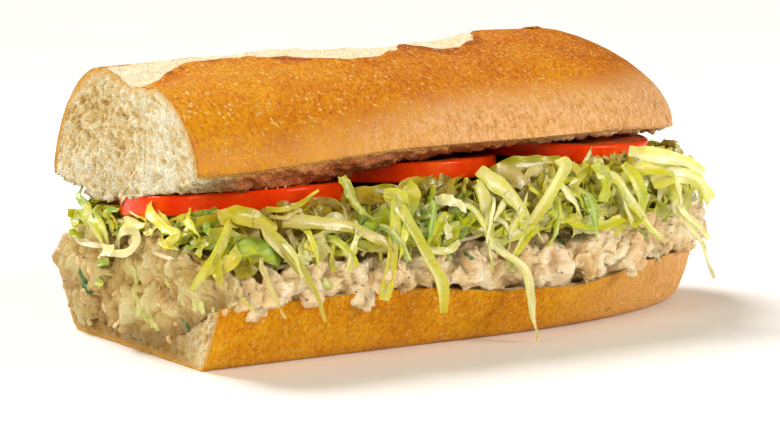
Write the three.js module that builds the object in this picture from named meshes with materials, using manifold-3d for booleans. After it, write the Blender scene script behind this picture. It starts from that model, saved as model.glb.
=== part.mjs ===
import * as THREE from 'three';
import { mergeVertices } from 'three/addons/utils/BufferGeometryUtils.js';
import Module from 'manifold-3d';

// A tuna salad submarine sandwich on half a loaf, in millimetres.
// X runs from the cut end, at about 0, to the rounded end of the loaf. The front is -Y.
// At the end of the file the origin is moved to the middle of the underside.

const GAP = 0.35;

// Lower half of the loaf, a shallow boat of crust with a thin layer of crumb.
const BOTTOM = {
  cut: 0,
  tip: 179.5,
  baseTip: 171,
  keelTip: 122,
  middle: -1.5,
  halfWidth: 45,
  baseShare: 0.76,
  lipShare: 0.94,
  floor: 3,
  sidePower: 1.5,
  shoulder: 0.5,
  planPower: 2.1,
};
const FRONT_RIM = [[0, 18.3], [55, 18], [94, 14.2], [113, 13.4], [148, 17], [185, 17]];
const BACK_RIM = [[0, 15.5], [100, 16], [185, 17]];

// Upper half of the loaf. It leans back and rises towards the rounded end.
const TOP = {
  cut: -2,
  tip: 178,
  ridgeTip: 132,
  halfWidth: 40,
  ridgeShift: 11,
  domePower: 1.8,
  endPower: 1.65,
  sagPower: 7,
  shoulder: 0.5,
  planPower: 2.1,
};
const TOP_MIDDLE = [[0, 1.2], [140, 0], [178, 2]];
const TOP_LEVEL = [[0, 47.2], [70, 50.9], [130, 51.9], [178, 50.2]];
const TOP_LEAN = [[0, 4.2], [70, 3.6], [130, 2.2], [178, 0]];
const TOP_HEIGHT = [[0, 29.5], [60, 27], [130, 26.5]];
const CRUMB_SAG = [[0, 5.6], [26, 7.5], [76, 5.6], [128, 2.6], [178, 0.8]];

// The slash along the top: its raised ear and the pale band behind it.
const SLASH = { end: 124, earHeight: 1.3, earWidth: 2.6, dip: 0.8, band: 20, valleyWidth: 8 };
const EAR_LINE = [[0, 2], [30, 6], [85, 10], [105, 18], [124, 25]];
const SLASH_VALLEY = [[0, 4.5], [22, 1.2], [45, 0.2], [75, 1.0], [100, 0]];

const TUNA = {
  cut: -1.6,
  tip: 178,
  topTip: 146,
  halfWidth: 46.6,
  middleHeight: 22.5,
  rise: 9.5,
  fall: 13,
  underAngle: 0.5,
  sidePower: 0.85,
  sink: 1.2,
};

const LETTUCE = {
  cut: 2,
  tip: 172,
  topTip: 146,
  halfWidth: 42,
  bottom: 30.5,
  leafThickness: 1.0,
};
const LETTUCE_TOP = [[0, 37], [26, 38.2], [76, 43], [128, 46.5], [172, 43]];
const LETTUCE_LEAN = [[0, 4], [60, 3], [128, 0.5]];

// Tomato slices: place of the middle, how much each falls to the right and to the back,
// and how far its left edge bends up where it lies on the slice before it.
const TOMATO = { radius: 30, thickness: 4.6, edge: 1.3 };
const TOMATO_SLICES = [
  { middle: [26, -7.9, 40.1], right: 0, back: 0.125, lift: 0 },
  { middle: [76.2, -6, 44.6], right: 0.01, back: 0.075, lift: 1.2 },
  { middle: [128.4, -6, 47.35], right: 0.05, back: 0, lift: 2.5 },
];

// Onion slices between the tuna salad and the lettuce: middle, radii, arc and tilt.
const ONION = { outer: 26, inner: 19, thickness: 1.6 };
const ONION_SLICES = [
  { middle: [22, -21, 29.6], from: 150, to: 290, right: -0.06, back: -0.08 },
  { middle: [72, -21, 31.0], from: 215, to: 325, right: 0.0, back: -0.06 },
  { middle: [20, 17, 28.2], from: 75, to: 190, right: -0.08, back: 0.1 },
  { middle: [150, -8, 30.4], from: 255, to: 350, right: 0.05, back: -0.02 },
];

const COLOURS = {
  crust: 0xd98a2b,
  crumb: 0xe9d9b0,
  tuna: 0xcbb084,
  lettuce: 0xc9d465,
  tomato: 0xc23a12,
  onion: 0xe6e2cf,
};

const wasm = await Module();
wasm.setup();

const mix = (a, b, t) => a + (b - a) * t;
const clamp = (value, low, high) => Math.min(high, Math.max(low, value));

// A smooth curve through a few knots of [place, value].
function along(place, knots) {
  const last = knots.length - 1;
  if (place <= knots[0][0]) return knots[0][1];
  if (place >= knots[last][0]) return knots[last][1];
  const next = knots.findIndex((knot) => knot[0] > place);
  const [x0, y0] = knots[next - 1];
  const [x1, y1] = knots[next];
  const t = (place - x0) / (x1 - x0);
  return mix(y0, y1, t * t * (3 - 2 * t));
}

function seededRandom(seed) {
  let state = seed;
  return () => {
    state = (state * 16807) % 2147483647;
    return state / 2147483647;
  };
}

// Half of the loaf's outline seen from above. Reach goes from 0 at the cut to 1 at the tip,
// and width from 1 to 0: straight sides, then an end rounded like a superellipse.
const STRAIGHT_SHARE = 0.4;
function planOutline(station, shoulder, power) {
  if (station <= STRAIGHT_SHARE) {
    return { reach: (shoulder * station) / STRAIGHT_SHARE, width: 1 };
  }
  const angle = ((station - STRAIGHT_SHARE) / (1 - STRAIGHT_SHARE)) * (Math.PI / 2);
  return {
    reach: shoulder + (1 - shoulder) * Math.sin(angle) ** (2 / power),
    width: station >= 1 ? 0 : Math.cos(angle) ** (2 / power),
  };
}

// Closed solid between an upper and a lower surface that share their rim. Both take a station,
// 0 at the cut and 1 at the tip, and a chain place, 0 at the back rim and 1 at the front rim.
function loft(stations, chain, upper, lower) {
  const positions = [];
  const quad = (a, b, c, d) => positions.push(...a, ...b, ...c, ...a, ...c, ...d);
  for (let j = 0; j < chain; j += 1) {
    const q0 = j / chain;
    const q1 = (j + 1) / chain;
    quad(upper(0, q0), lower(0, q0), lower(0, q1), upper(0, q1));
    for (let i = 0; i < stations; i += 1) {
      const s0 = i / stations;
      const s1 = (i + 1) / stations;
      quad(upper(s0, q0), upper(s0, q1), upper(s1, q1), upper(s1, q0));
      quad(lower(s0, q0), lower(s1, q0), lower(s1, q1), lower(s0, q1));
    }
  }
  const geometry = new THREE.BufferGeometry();
  geometry.setAttribute('position', new THREE.Float32BufferAttribute(positions, 3));
  return geometry;
}

// Shared vertices are merged and triangles of no area are dropped.
const WELD = 1e-3;
function toSolid(geometry) {
  const bare = geometry.clone();
  bare.deleteAttribute('normal');
  bare.deleteAttribute('uv');
  const merged = mergeVertices(bare, WELD);
  const index = merged.index.array;
  const kept = [];
  for (let i = 0; i < index.length; i += 3) {
    const [a, b, c] = [index[i], index[i + 1], index[i + 2]];
    if (a !== b && b !== c && c !== a) kept.push(a, b, c);
  }
  return new wasm.Manifold(new wasm.Mesh({
    numProp: 3,
    vertProperties: new Float32Array(merged.attributes.position.array),
    triVerts: new Uint32Array(kept),
  }));
}

function toGeometry(solid) {
  const mesh = solid.getMesh();
  const geometry = new THREE.BufferGeometry();
  geometry.setAttribute('position', new THREE.Float32BufferAttribute(mesh.vertProperties, 3));
  geometry.setIndex(new THREE.Uint32BufferAttribute(mesh.triVerts, 1));
  return geometry;
}

function join(solids) {
  let queue = solids;
  while (queue.length > 1) {
    const next = [];
    for (let i = 0; i < queue.length; i += 2) {
      next.push(i + 1 < queue.length ? queue[i].add(queue[i + 1]) : queue[i]);
    }
    queue = next;
  }
  return queue[0];
}

// The largest of the bodies that a cut leaves. Loose scraps are dropped.
function largestBody(solid) {
  return solid.decompose().reduce((best, body) => (body.volume() > best.volume() ? body : best));
}

const sideOf = (q) => (q < 0.5 ? 1 : -1);

// Lower half of the loaf. Share is 1 at the rim and 0 on the middle line.
function bottomPlace(station, q, grow) {
  const share = Math.abs(Math.cos(Math.PI * q));
  const { reach, width } = planOutline(station, BOTTOM.shoulder, BOTTOM.planPower);
  const up = clamp((share - BOTTOM.baseShare) / (1 - BOTTOM.baseShare), 0, 1);
  const tip = share > BOTTOM.baseShare
    ? mix(BOTTOM.baseTip, BOTTOM.tip, Math.sqrt(up))
    : mix(BOTTOM.keelTip, BOTTOM.baseTip, share / BOTTOM.baseShare);
  const cut = BOTTOM.cut - grow;
  return {
    share,
    up,
    width,
    x: cut + (tip + grow * share - cut) * reach,
    y: BOTTOM.middle + sideOf(q) * (BOTTOM.halfWidth + grow) * share * width,
  };
}

// The two rims differ in height along the sides and meet at the rounded end.
function rimHeight(x, q, width) {
  const back = along(x, BACK_RIM);
  const front = along(x, FRONT_RIM);
  return mix((back + front) / 2, mix(back, front, clamp(q * 2 - 0.5, 0, 1)), width);
}

function bottomOuter(station, q, grow = 0) {
  const { up, width, x, y } = bottomPlace(station, q, grow);
  return [x, y, (rimHeight(x, q, width) + grow) * up ** BOTTOM.sidePower - grow * (1 - up)];
}

function bottomCrumb(station, q, grow = 0) {
  const { share, width, x, y } = bottomPlace(station, q, grow);
  const inner = Math.min(1, share / BOTTOM.lipShare);
  return [x, y, mix(BOTTOM.floor, rimHeight(x, q, width), inner ** 2) + grow * (2 - inner ** 8)];
}

const BOTTOM_STATIONS = 20;
const BOTTOM_CHAIN = 18;
function lowerHalfLoaf(grow = 0) {
  return toSolid(loft(
    BOTTOM_STATIONS,
    BOTTOM_CHAIN,
    (s, q) => bottomCrumb(s, q, grow),
    (s, q) => bottomOuter(s, q, grow),
  ));
}

// Upper half of the loaf.
function topPlace(station, q, grow) {
  const turn = Math.abs(Math.cos(Math.PI * q));
  const share = turn ** (2 / TOP.domePower);
  const { reach, width } = planOutline(station, TOP.shoulder, TOP.planPower);
  const tip = mix(TOP.ridgeTip, TOP.tip + grow, turn ** (2 / TOP.endPower));
  const cut = TOP.cut - grow;
  const x = cut + (tip - cut) * reach;
  const side = sideOf(q);
  const ridge = TOP.ridgeShift * (0.5 + 0.5 * width);
  const half = TOP.halfWidth + grow - side * TOP.ridgeShift;
  return { share, x, y: along(x, TOP_MIDDLE) + ridge + side * half * share * width };
}

function topBase(x, y) {
  return along(x, TOP_LEVEL) - (along(x, TOP_LEAN) * (y - along(x, TOP_MIDDLE))) / TOP.halfWidth;
}

// The ear is a low ridge of crust, with the pale band a little lower behind it.
function slashRelief(x, y) {
  const behind = y - along(x, EAR_LINE);
  const fade = clamp((SLASH.end - x) / 25, 0, 1);
  const ear = SLASH.earHeight * Math.exp(-((behind / SLASH.earWidth) ** 2));
  const inBand = clamp(behind / 3, 0, 1) * clamp((SLASH.band - behind) / 8, 0, 1);
  const valley = along(x, SLASH_VALLEY) * Math.exp(-((behind / SLASH.valleyWidth) ** 2));
  return fade * (ear - SLASH.dip * inBand) - valley;
}

function topOuter(station, q, grow = 0) {
  const { x, y } = topPlace(station, q, grow);
  const rise = Math.sin(Math.PI * q) ** (2 / TOP.domePower);
  const dome = (along(x, TOP_HEIGHT) + 2 * grow + slashRelief(x, y)) * rise;
  return [x, y, topBase(x, y) - grow + dome];
}

function topUnderside(station, q, grow = 0) {
  const { share, x, y } = topPlace(station, q, grow);
  return [x, y, topBase(x, y) - grow - along(x, CRUMB_SAG) * (1 - share ** TOP.sagPower)];
}

const TOP_STATIONS = 19;
const TOP_CHAIN = 20;
function upperHalfLoaf(grow = 0) {
  return toSolid(loft(
    TOP_STATIONS,
    TOP_CHAIN,
    (s, q) => topOuter(s, q, grow),
    (s, q) => topUnderside(s, q, grow),
  ));
}

// Turns a flat piece so that it falls to the right and to the back, and sets it in its place.
function layDown(geometry, piece) {
  const normal = new THREE.Vector3(piece.right, piece.back, 1).normalize();
  const turn = new THREE.Quaternion().setFromUnitVectors(new THREE.Vector3(0, 0, 1), normal);
  geometry.applyQuaternion(turn);
  geometry.translate(...piece.middle);
  return geometry;
}

const TOMATO_SEGMENTS = 24;
function tomatoSlice(slice, number, grow = 0) {
  const radius = TOMATO.radius + grow;
  const half = TOMATO.thickness / 2 + grow;
  const profile = [
    [0, -half],
    [radius * 0.6, -half],
    [radius - TOMATO.edge, -half],
    [radius, -half + TOMATO.edge],
    [radius, half - TOMATO.edge],
    [radius - TOMATO.edge, half],
    [radius * 0.6, half],
    [0, half],
  ].map(([r, z]) => new THREE.Vector2(r, z));
  const geometry = new THREE.LatheGeometry(profile, TOMATO_SEGMENTS);
  geometry.rotateX(Math.PI / 2);
  const position = geometry.attributes.position;
  for (let i = 0; i < position.count; i += 1) {
    const angle = Math.atan2(position.getY(i), position.getX(i));
    const uneven = 1 + 0.01 * Math.cos(2 * angle + number) + 0.006 * Math.cos(5 * angle + 2 * number);
    const bend = clamp((-position.getX(i) - 5) / 25, 0, 1.1);
    position.setX(i, position.getX(i) * uneven);
    position.setY(i, position.getY(i) * uneven);
    position.setZ(i, position.getZ(i) + slice.lift * bend ** 2);
  }
  return toSolid(layDown(geometry, slice));
}

const ONION_SEGMENTS = 6;
function onionSlice(slice, grow = 0) {
  const from = THREE.MathUtils.degToRad(slice.from);
  const to = THREE.MathUtils.degToRad(slice.to);
  const outline = new THREE.Shape();
  outline.absarc(0, 0, ONION.outer + grow, from, to, false);
  outline.absarc(0, 0, ONION.inner - grow, to, from, true);
  const geometry = new THREE.ExtrudeGeometry(outline, {
    depth: ONION.thickness + 2 * grow,
    bevelEnabled: false,
    curveSegments: ONION_SEGMENTS,
  });
  geometry.translate(0, 0, -ONION.thickness / 2 - grow);
  return toSolid(layDown(geometry, slice));
}

// Swells and hollows of a spooned salad: wavelengths of about 17 and 8 mm.
const SWELL = { broad: 0.37, broadHeight: 2.1, fine: 0.79, fineHeight: 0.8 };
function lumpiness(x, y, z) {
  const across = 2 * Math.sin(0.05 * y + 0.8);
  const broad = Math.sin(SWELL.broad * x + across) * Math.sin(SWELL.broad * (z + x / 2));
  const fine = Math.sin(SWELL.fine * (x - z / 2) + 1.5 * Math.sin(SWELL.broad * z));
  return SWELL.broadHeight * broad + SWELL.fineHeight * fine;
}

// Tuna salad: a mound that bulges over the rim, with lumps of fish and celery.
function tunaUpper(station, q, grow = 0) {
  const away = Math.abs(1 - 2 * q);
  const angle = mix(Math.PI / 2, -TUNA.underAngle, away);
  const share = Math.max(0, Math.cos(angle)) ** TUNA.sidePower;
  const { reach, width } = planOutline(station, BOTTOM.shoulder, BOTTOM.planPower);
  const cut = TUNA.cut - grow;
  const x = cut + (mix(TUNA.topTip, TUNA.tip + grow, share) - cut) * reach;
  const y = sideOf(q) * (TUNA.halfWidth + grow) * (q === 0.5 ? 0 : share) * width;
  const z = TUNA.middleHeight + (angle < 0 ? TUNA.fall : TUNA.rise + grow) * Math.sin(angle);
  const swell = lumpiness(x, y, z) * clamp((share - 0.45) / 0.3, 0, 1);
  return [
    x + swell * reach * (1 - width),
    BOTTOM.middle + y * (1 + swell / TUNA.halfWidth),
    z + 0.35 * swell,
  ];
}

function tunaLower(station, q, grow = 0) {
  const away = Math.abs(1 - 2 * q);
  if (away === 1) return tunaUpper(station, q, grow);
  const [x, y] = tunaUpper(station, q < 0.5 ? 0 : 1, grow);
  const { reach, width } = planOutline(station, BOTTOM.shoulder, BOTTOM.planPower);
  const cut = TUNA.cut - grow;
  const keel = cut + (BOTTOM.keelTip - cut) * reach;
  return [
    mix(keel, x, away),
    BOTTOM.middle + (y - BOTTOM.middle) * away,
    mix(BOTTOM.floor, rimHeight(x, q, width), away ** 2) - TUNA.sink,
  ];
}

// A rough lump: an icosahedron squashed along its own axes and turned at random.
function lump(middle, size, squash, random) {
  const geometry = new THREE.IcosahedronGeometry(size, 0);
  geometry.rotateX(random() * Math.PI);
  geometry.rotateZ(random() * Math.PI);
  geometry.scale(...squash);
  geometry.translate(...middle);
  return toSolid(geometry);
}

const SIDE_LUMPS = { count: 17, smallest: 4, largest: 6.8, squash: [1.25, 0.48, 0.75] };
const CUT_LUMPS = { count: 9, smallest: 5.5, largest: 9, squash: [0.34, 1, 0.8] };
const CUT_LUMPS_LOW = [[0, 5], [1, 16]];
const CUT_LUMPS_HIGH = [[0, 27], [1, 23]];
const GOLDEN = 0.618;

// Drips that hang over the front rim: place along the loaf and height of the middle.
const DRIPS = [[14, 18], [24, 20.5], [62, 20.5], [88, 18], [106, 15.5], [118, 16]];
const DRIP = { size: 5, squash: [1, 0.5, 0.85], out: 45 };

function tunaLumps(grow = 0) {
  const random = seededRandom(4021);
  const lumps = [];
  for (let n = 0; n < SIDE_LUMPS.count; n += 1) {
    const station = 0.03 + (n + random() * 0.8) / SIDE_LUMPS.count;
    const onFront = n % 3 !== 0;
    const q = onFront ? mix(0.84, 0.985, random()) : mix(0.015, 0.16, random());
    const [x, y, z] = tunaUpper(Math.min(station, 0.97), q);
    const size = mix(SIDE_LUMPS.smallest, SIDE_LUMPS.largest, random()) + grow;
    lumps.push(lump([x, y * 0.965, z], size, SIDE_LUMPS.squash, random));
  }
  for (let n = 0; n < CUT_LUMPS.count; n += 1) {
    const across = mix(-0.88, 0.86, (n + 0.5) / CUT_LUMPS.count);
    const low = along(Math.abs(across), CUT_LUMPS_LOW);
    const high = along(Math.abs(across), CUT_LUMPS_HIGH);
    const z = mix(low, high, (n * GOLDEN) % 1);
    const y = BOTTOM.middle + TUNA.halfWidth * 0.9 * across;
    const size = mix(CUT_LUMPS.smallest, CUT_LUMPS.largest, random()) + grow;
    lumps.push(lump([TUNA.cut + 0.4, y, z], size, CUT_LUMPS.squash, random));
  }
  for (const [x, z] of DRIPS) {
    const place = [x, BOTTOM.middle - DRIP.out, z];
    lumps.push(lump(place, DRIP.size + grow, DRIP.squash, random));
  }
  return lumps;
}

const TUNA_STATIONS = 22;
const TUNA_CHAIN = 12;
function tunaMound(grow = 0) {
  const core = toSolid(loft(
    TUNA_STATIONS,
    TUNA_CHAIN,
    (s, q) => tunaUpper(s, q, grow),
    (s, q) => tunaLower(s, q, grow),
  ));
  return join([core, ...tunaLumps(grow)]);
}

// Lettuce: a core under the tomato slices, with shreds that stick out and hang down.
function lettuceTop(x, y) {
  return along(x, LETTUCE_TOP) - (along(x, LETTUCE_LEAN) * y) / LETTUCE.halfWidth;
}

function lettuceSurface(station, q, isTop) {
  const share = Math.abs(Math.cos(Math.PI * q));
  const { reach, width } = planOutline(station, BOTTOM.shoulder, BOTTOM.planPower);
  const tip = mix(LETTUCE.topTip, LETTUCE.tip, share);
  const x = LETTUCE.cut + (tip - LETTUCE.cut) * reach;
  const y = BOTTOM.middle + sideOf(q) * LETTUCE.halfWidth * share * width;
  const top = lettuceTop(x, y);
  const middle = mix(LETTUCE.bottom, top, 0.4);
  return [x, y, mix(middle, isTop ? top : LETTUCE.bottom, Math.sqrt(1 - share ** 4))];
}

const LETTUCE_STATIONS = 12;
const LETTUCE_CHAIN = 10;
function lettuceCore() {
  return toSolid(loft(
    LETTUCE_STATIONS,
    LETTUCE_CHAIN,
    (s, q) => lettuceSurface(s, q, true),
    (s, q) => lettuceSurface(s, q, false),
  ));
}

// A shred of leaf: a thin strip along a curve, wide along the given direction.
const LONG_STEPS = 4;
const SHORT_STEPS = 3;
function shred(curve, width, across, curl, steps) {
  const half = LETTUCE.leafThickness / 2;
  const rows = [];
  for (let i = 0; i <= steps; i += 1) {
    const t = i / steps;
    const middle = curve.getPoint(t);
    const ahead = curve.getTangent(t);
    const wide = across.clone().applyAxisAngle(ahead, curl * (t - 0.3));
    wide.addScaledVector(ahead, -wide.dot(ahead)).normalize();
    const thick = new THREE.Vector3().crossVectors(ahead, wide).normalize().multiplyScalar(half);
    const taper = 0.55 + 0.45 * Math.sin(Math.PI * Math.min(1, 0.25 + t * 0.72));
    wide.multiplyScalar((width / 2) * taper);
    rows.push([
      middle.clone().add(wide).add(thick),
      middle.clone().sub(wide).add(thick),
      middle.clone().sub(wide).sub(thick),
      middle.clone().add(wide).sub(thick),
    ]);
  }
  const positions = [];
  const face = (a, b, c, d) => {
    for (const corner of [a, c, b, a, d, c]) positions.push(corner.x, corner.y, corner.z);
  };
  for (let i = 0; i < steps; i += 1) {
    const [p, r] = [rows[i], rows[i + 1]];
    face(p[0], r[0], r[1], p[1]);
    face(p[2], r[2], r[3], p[3]);
    face(p[1], r[1], r[2], p[2]);
    face(p[3], r[3], r[0], p[0]);
  }
  face(rows[0][0], rows[0][1], rows[0][2], rows[0][3]);
  face(rows[steps][3], rows[steps][2], rows[steps][1], rows[steps][0]);
  const geometry = new THREE.BufferGeometry();
  geometry.setAttribute('position', new THREE.Float32BufferAttribute(positions, 3));
  return toSolid(geometry);
}

// Where the lettuce's outline is at a station, with the directions outwards and along it.
function outlineFrame(station, q) {
  const edge = (s) => new THREE.Vector3(...lettuceSurface(s, q, true)).setZ(0);
  const place = edge(station);
  const before = edge(Math.max(0, station - 0.01));
  const after = edge(Math.min(1, station + 0.01));
  const forward = after.sub(before).normalize();
  const out = new THREE.Vector3(forward.y, -forward.x, 0).multiplyScalar(q > 0.5 ? 1 : -1);
  return { place, forward, out };
}

// A shred that comes out of the heap, goes over its edge and hangs down to a given height.
const SHRED = { root: 7, rootLevel: 0.5, flare: 0.6, arch: 1.5, leanAtBend: 0.35 };
function hangingShred(spot) {
  const { place, forward, out } = outlineFrame(spot.station, spot.q);
  const root = place.clone().addScaledVector(out, -SHRED.root);
  root.z = mix(LETTUCE.bottom, lettuceTop(root.x, root.y), SHRED.rootLevel);
  const bend = place.clone().addScaledVector(out, spot.out);
  bend.addScaledVector(forward, spot.lean * SHRED.leanAtBend);
  bend.z = spot.from + SHRED.arch;
  const tip = place.clone().addScaledVector(out, spot.out + SHRED.flare);
  tip.addScaledVector(forward, spot.lean);
  tip.z = spot.to;
  const curve = new THREE.QuadraticBezierCurve3(root, bend, tip);
  return shred(curve, spot.width, forward, spot.curl, spot.steps);
}

// The long shreds of the front: place along the loaf, top and bottom height, lean, width, curl.
const OVER_THE_SIDE = 8.3;
const FRONT_SHREDS = [
  [11, 39, 12, 18, 4.8, 0.5],
  [12, 31, 15, 8, 2.2, 0.2],
  [51, 42, 15, -3, 4.2, -0.3],
  [55, 39, 11, 10, 4.2, 0.4],
  [58, 43, 30, 1, 5.5, 0.2],
  [84, 34, 1.5, 11, 3.6, 0.4],
  [26, 38, 29, 25, 3.0, 0.5],
  [42, 43, 35, 8, 4.5, -0.5],
  [82, 41, 21, 3, 4.6, 0.3],
  [107, 42, 29, -20, 3.6, 0.3],
  [98, 40, 27, 12, 4.4, -0.4],
  [126, 41, 24, 15, 4.0, 0.4],
  [118, 42, 31, -8, 4.6, 0.5],
  [66, 40, 33, 12, 3.4, -0.6],
  [34, 41, 31, -10, 4.0, 0.4],
  [6, 40, 26, -10, 4.2, -0.4],
  [138, 46, 41, 17, 6.0, 0.2],
  [149, 36, 22, 9, 3.4, 0.4],
  [150, 33, 11, 10, 3.0, 0.6],
];

// Station of the outline that lies at a place along the loaf.
function stationAt(x) {
  const reach = (x - LETTUCE.cut) / (LETTUCE.tip - LETTUCE.cut);
  if (reach <= BOTTOM.shoulder) return clamp((reach / BOTTOM.shoulder) * STRAIGHT_SHARE, 0, 1);
  const past = (reach - BOTTOM.shoulder) / (1 - BOTTOM.shoulder);
  const angle = Math.asin(Math.min(1, past) ** (BOTTOM.planPower / 2));
  return STRAIGHT_SHARE + (1 - STRAIGHT_SHARE) * (angle / (Math.PI / 2));
}

const LOOSE_SHREDS = 36;
function allShreds() {
  const random = seededRandom(977);
  const shreds = FRONT_SHREDS.map(([x, from, to, lean, width, curl]) => hangingShred({
    station: stationAt(x), q: 1, from, to, lean, width, curl, out: OVER_THE_SIDE, steps: LONG_STEPS,
  }));
  for (let n = 0; n < LOOSE_SHREDS; n += 1) {
    const station = clamp((n + random()) / LOOSE_SHREDS, 0.02, 0.97);
    const q = n % 2;
    const [x, y] = lettuceSurface(station, q, true);
    const from = lettuceTop(x, y) - mix(1, 6, random());
    const to = from - mix(5, 17, random());
    shreds.push(hangingShred({
      station,
      q,
      from,
      to,
      lean: mix(-13, 13, random()),
      width: mix(3, 6, random()),
      curl: mix(-0.7, 0.7, random()),
      out: to < LETTUCE.bottom ? OVER_THE_SIDE + mix(-0.5, 0.5, random()) : mix(3, 6, random()),
      steps: SHORT_STEPS,
    }));
  }
  return shreds;
}

// Shreds that stick out of the cut end, above the tuna salad.
const CUT_SHREDS = [
  [33, 39.5, 20, 35, 4.0],
  [30, 33.5, 17, 36, 3.4],
  [20, 32, 33, 27, 3.4],
  [17, 35, 7, 27.5, 3.6],
  [8, 34, -9, 31, 4.4],
  [-6, 37, -20, 31, 5.0],
  [-22, 38, -32, 27, 5.0],
];
function cutEndShreds() {
  return CUT_SHREDS.map(([y0, z0, y1, z1, width]) => {
    const root = new THREE.Vector3(LETTUCE.cut + 5, mix(y0, 0, 0.15), z0 - 1);
    const bend = new THREE.Vector3(LETTUCE.cut - 9, y0, z0 + 2);
    const tip = new THREE.Vector3(LETTUCE.cut - 6, y1, z1);
    const across = new THREE.Vector3(0.2, 0.3, 1).normalize();
    const curve = new THREE.QuadraticBezierCurve3(root, bend, tip);
    return shred(curve, width, across, 0.6, SHORT_STEPS);
  });
}

function material(colour, roughness) {
  return new THREE.MeshStandardMaterial({ color: colour, roughness, metalness: 0 });
}

const sandwich = new THREE.Group();
function addPiece(name, solid, colour, roughness) {
  const mesh = new THREE.Mesh(toGeometry(solid), material(colour, roughness));
  mesh.name = name;
  sandwich.add(mesh);
}

const cutBy = (solid, cutters) => cutters.reduce((left, cutter) => left.subtract(cutter), solid);

const grownBottom = lowerHalfLoaf(GAP);
const grownTomatoes = TOMATO_SLICES.map((slice, number) => tomatoSlice(slice, number, GAP));
const grownOnions = ONION_SLICES.map((slice) => onionSlice(slice, GAP));
const grownTuna = tunaMound(GAP);

const tuna = largestBody(cutBy(tunaMound(), [grownBottom, ...grownOnions]));
const shreds = join([...allShreds(), ...cutEndShreds()]);
const lettuce = largestBody(cutBy(
  lettuceCore().add(shreds),
  [grownTuna, grownBottom, upperHalfLoaf(GAP), ...grownTomatoes, ...grownOnions],
));

addPiece('bread_bottom', lowerHalfLoaf(), COLOURS.crust, 0.6);
addPiece('tuna_salad', tuna, COLOURS.tuna, 0.5);
ONION_SLICES.forEach((slice, number) => {
  addPiece(`onion_${number + 1}`, onionSlice(slice), COLOURS.onion, 0.35);
});
addPiece('lettuce', lettuce, COLOURS.lettuce, 0.45);
TOMATO_SLICES.forEach((slice, number) => {
  addPiece(`tomato_${number + 1}`, tomatoSlice(slice, number), COLOURS.tomato, 0.25);
});
addPiece('bread_top', largestBody(cutBy(upperHalfLoaf(), grownTomatoes)), COLOURS.crust, 0.6);

// The origin goes to the middle of the underside.
const box = new THREE.Box3().setFromObject(sandwich);
const middle = box.getCenter(new THREE.Vector3());
sandwich.position.set(-middle.x, -middle.y, -box.min.z);
const group = new THREE.Group();
group.add(sandwich);

export default group;
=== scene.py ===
import math

import bmesh
import bpy
import numpy as np
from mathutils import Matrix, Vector


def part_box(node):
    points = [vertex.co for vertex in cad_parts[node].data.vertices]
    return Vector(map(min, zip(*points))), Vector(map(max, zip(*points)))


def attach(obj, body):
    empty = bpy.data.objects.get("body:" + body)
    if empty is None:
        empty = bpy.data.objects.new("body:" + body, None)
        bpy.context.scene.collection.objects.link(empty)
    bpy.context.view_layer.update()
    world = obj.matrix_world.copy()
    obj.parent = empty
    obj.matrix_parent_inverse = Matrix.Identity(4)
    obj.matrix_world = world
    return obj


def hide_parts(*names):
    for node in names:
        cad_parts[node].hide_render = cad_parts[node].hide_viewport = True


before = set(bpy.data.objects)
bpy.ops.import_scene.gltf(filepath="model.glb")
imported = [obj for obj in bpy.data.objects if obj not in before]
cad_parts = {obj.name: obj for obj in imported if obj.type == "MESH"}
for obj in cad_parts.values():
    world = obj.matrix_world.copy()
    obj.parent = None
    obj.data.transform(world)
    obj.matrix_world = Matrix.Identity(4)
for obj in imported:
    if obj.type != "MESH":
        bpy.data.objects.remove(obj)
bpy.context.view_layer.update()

# The lower half of the loaf: a shallow boat of thin golden crust with a thin layer of white
# crumb, hollowed a little for the filling. It is sliced straight at the left end.
# Sizes are in millimetres, from the cut end as 0, with -Y to the front.
BASE_LOW, BASE_HIGH = (np.array(corner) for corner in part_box("bread_bottom"))
BOTTOM_MIDDLE = -1.5
ORIGIN = np.array([BASE_LOW[0], (BASE_LOW[1] + BASE_HIGH[1]) / 2 - BOTTOM_MIDDLE / 1000, BASE_LOW[2]])

BOTTOM_TIP, BOTTOM_BASE_TIP, BOTTOM_KEEL_TIP = 179.5, 171.0, 122.0
BOTTOM_HALF_WIDTH = 45.0
BASE_SHARE, LIP_SHARE = 0.76, 0.94
CRUMB_FLOOR = 3.0
SIDE_POWER = 1.5
SHOULDER, STRAIGHT_SHARE, PLAN_POWER = 0.5, 0.4, 2.1
FRONT_RIM = [[0, 18.3], [55, 18], [94, 14.2], [113, 13.4], [148, 17], [185, 17]]
BACK_RIM = [[0, 15.5], [100, 16], [185, 17]]


def mix(a, b, t):
    return a + (b - a) * t


def ease(t):
    t = np.clip(t, 0, 1)
    return t * t * (3 - 2 * t)


def step(value, low, high):
    return ease((value - low) / (high - low))


def along(place, knots):
    """A smooth curve through a few knots of [place, value]."""
    xs, ys = np.array(knots, float).T
    place = np.clip(place, xs[0], xs[-1])
    i = np.clip(np.searchsorted(xs, place, side="right") - 1, 0, len(xs) - 2)
    return mix(ys[i], ys[i + 1], ease((place - xs[i]) / (xs[i + 1] - xs[i])))


def side_of(q):
    """1 on the back half of a section and -1 on its front half."""
    return np.where(q < 0.5, 1.0, -1.0)


def as_points(x, y, z):
    return np.stack(np.broadcast_arrays(x, y, z), axis=-1)


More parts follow.
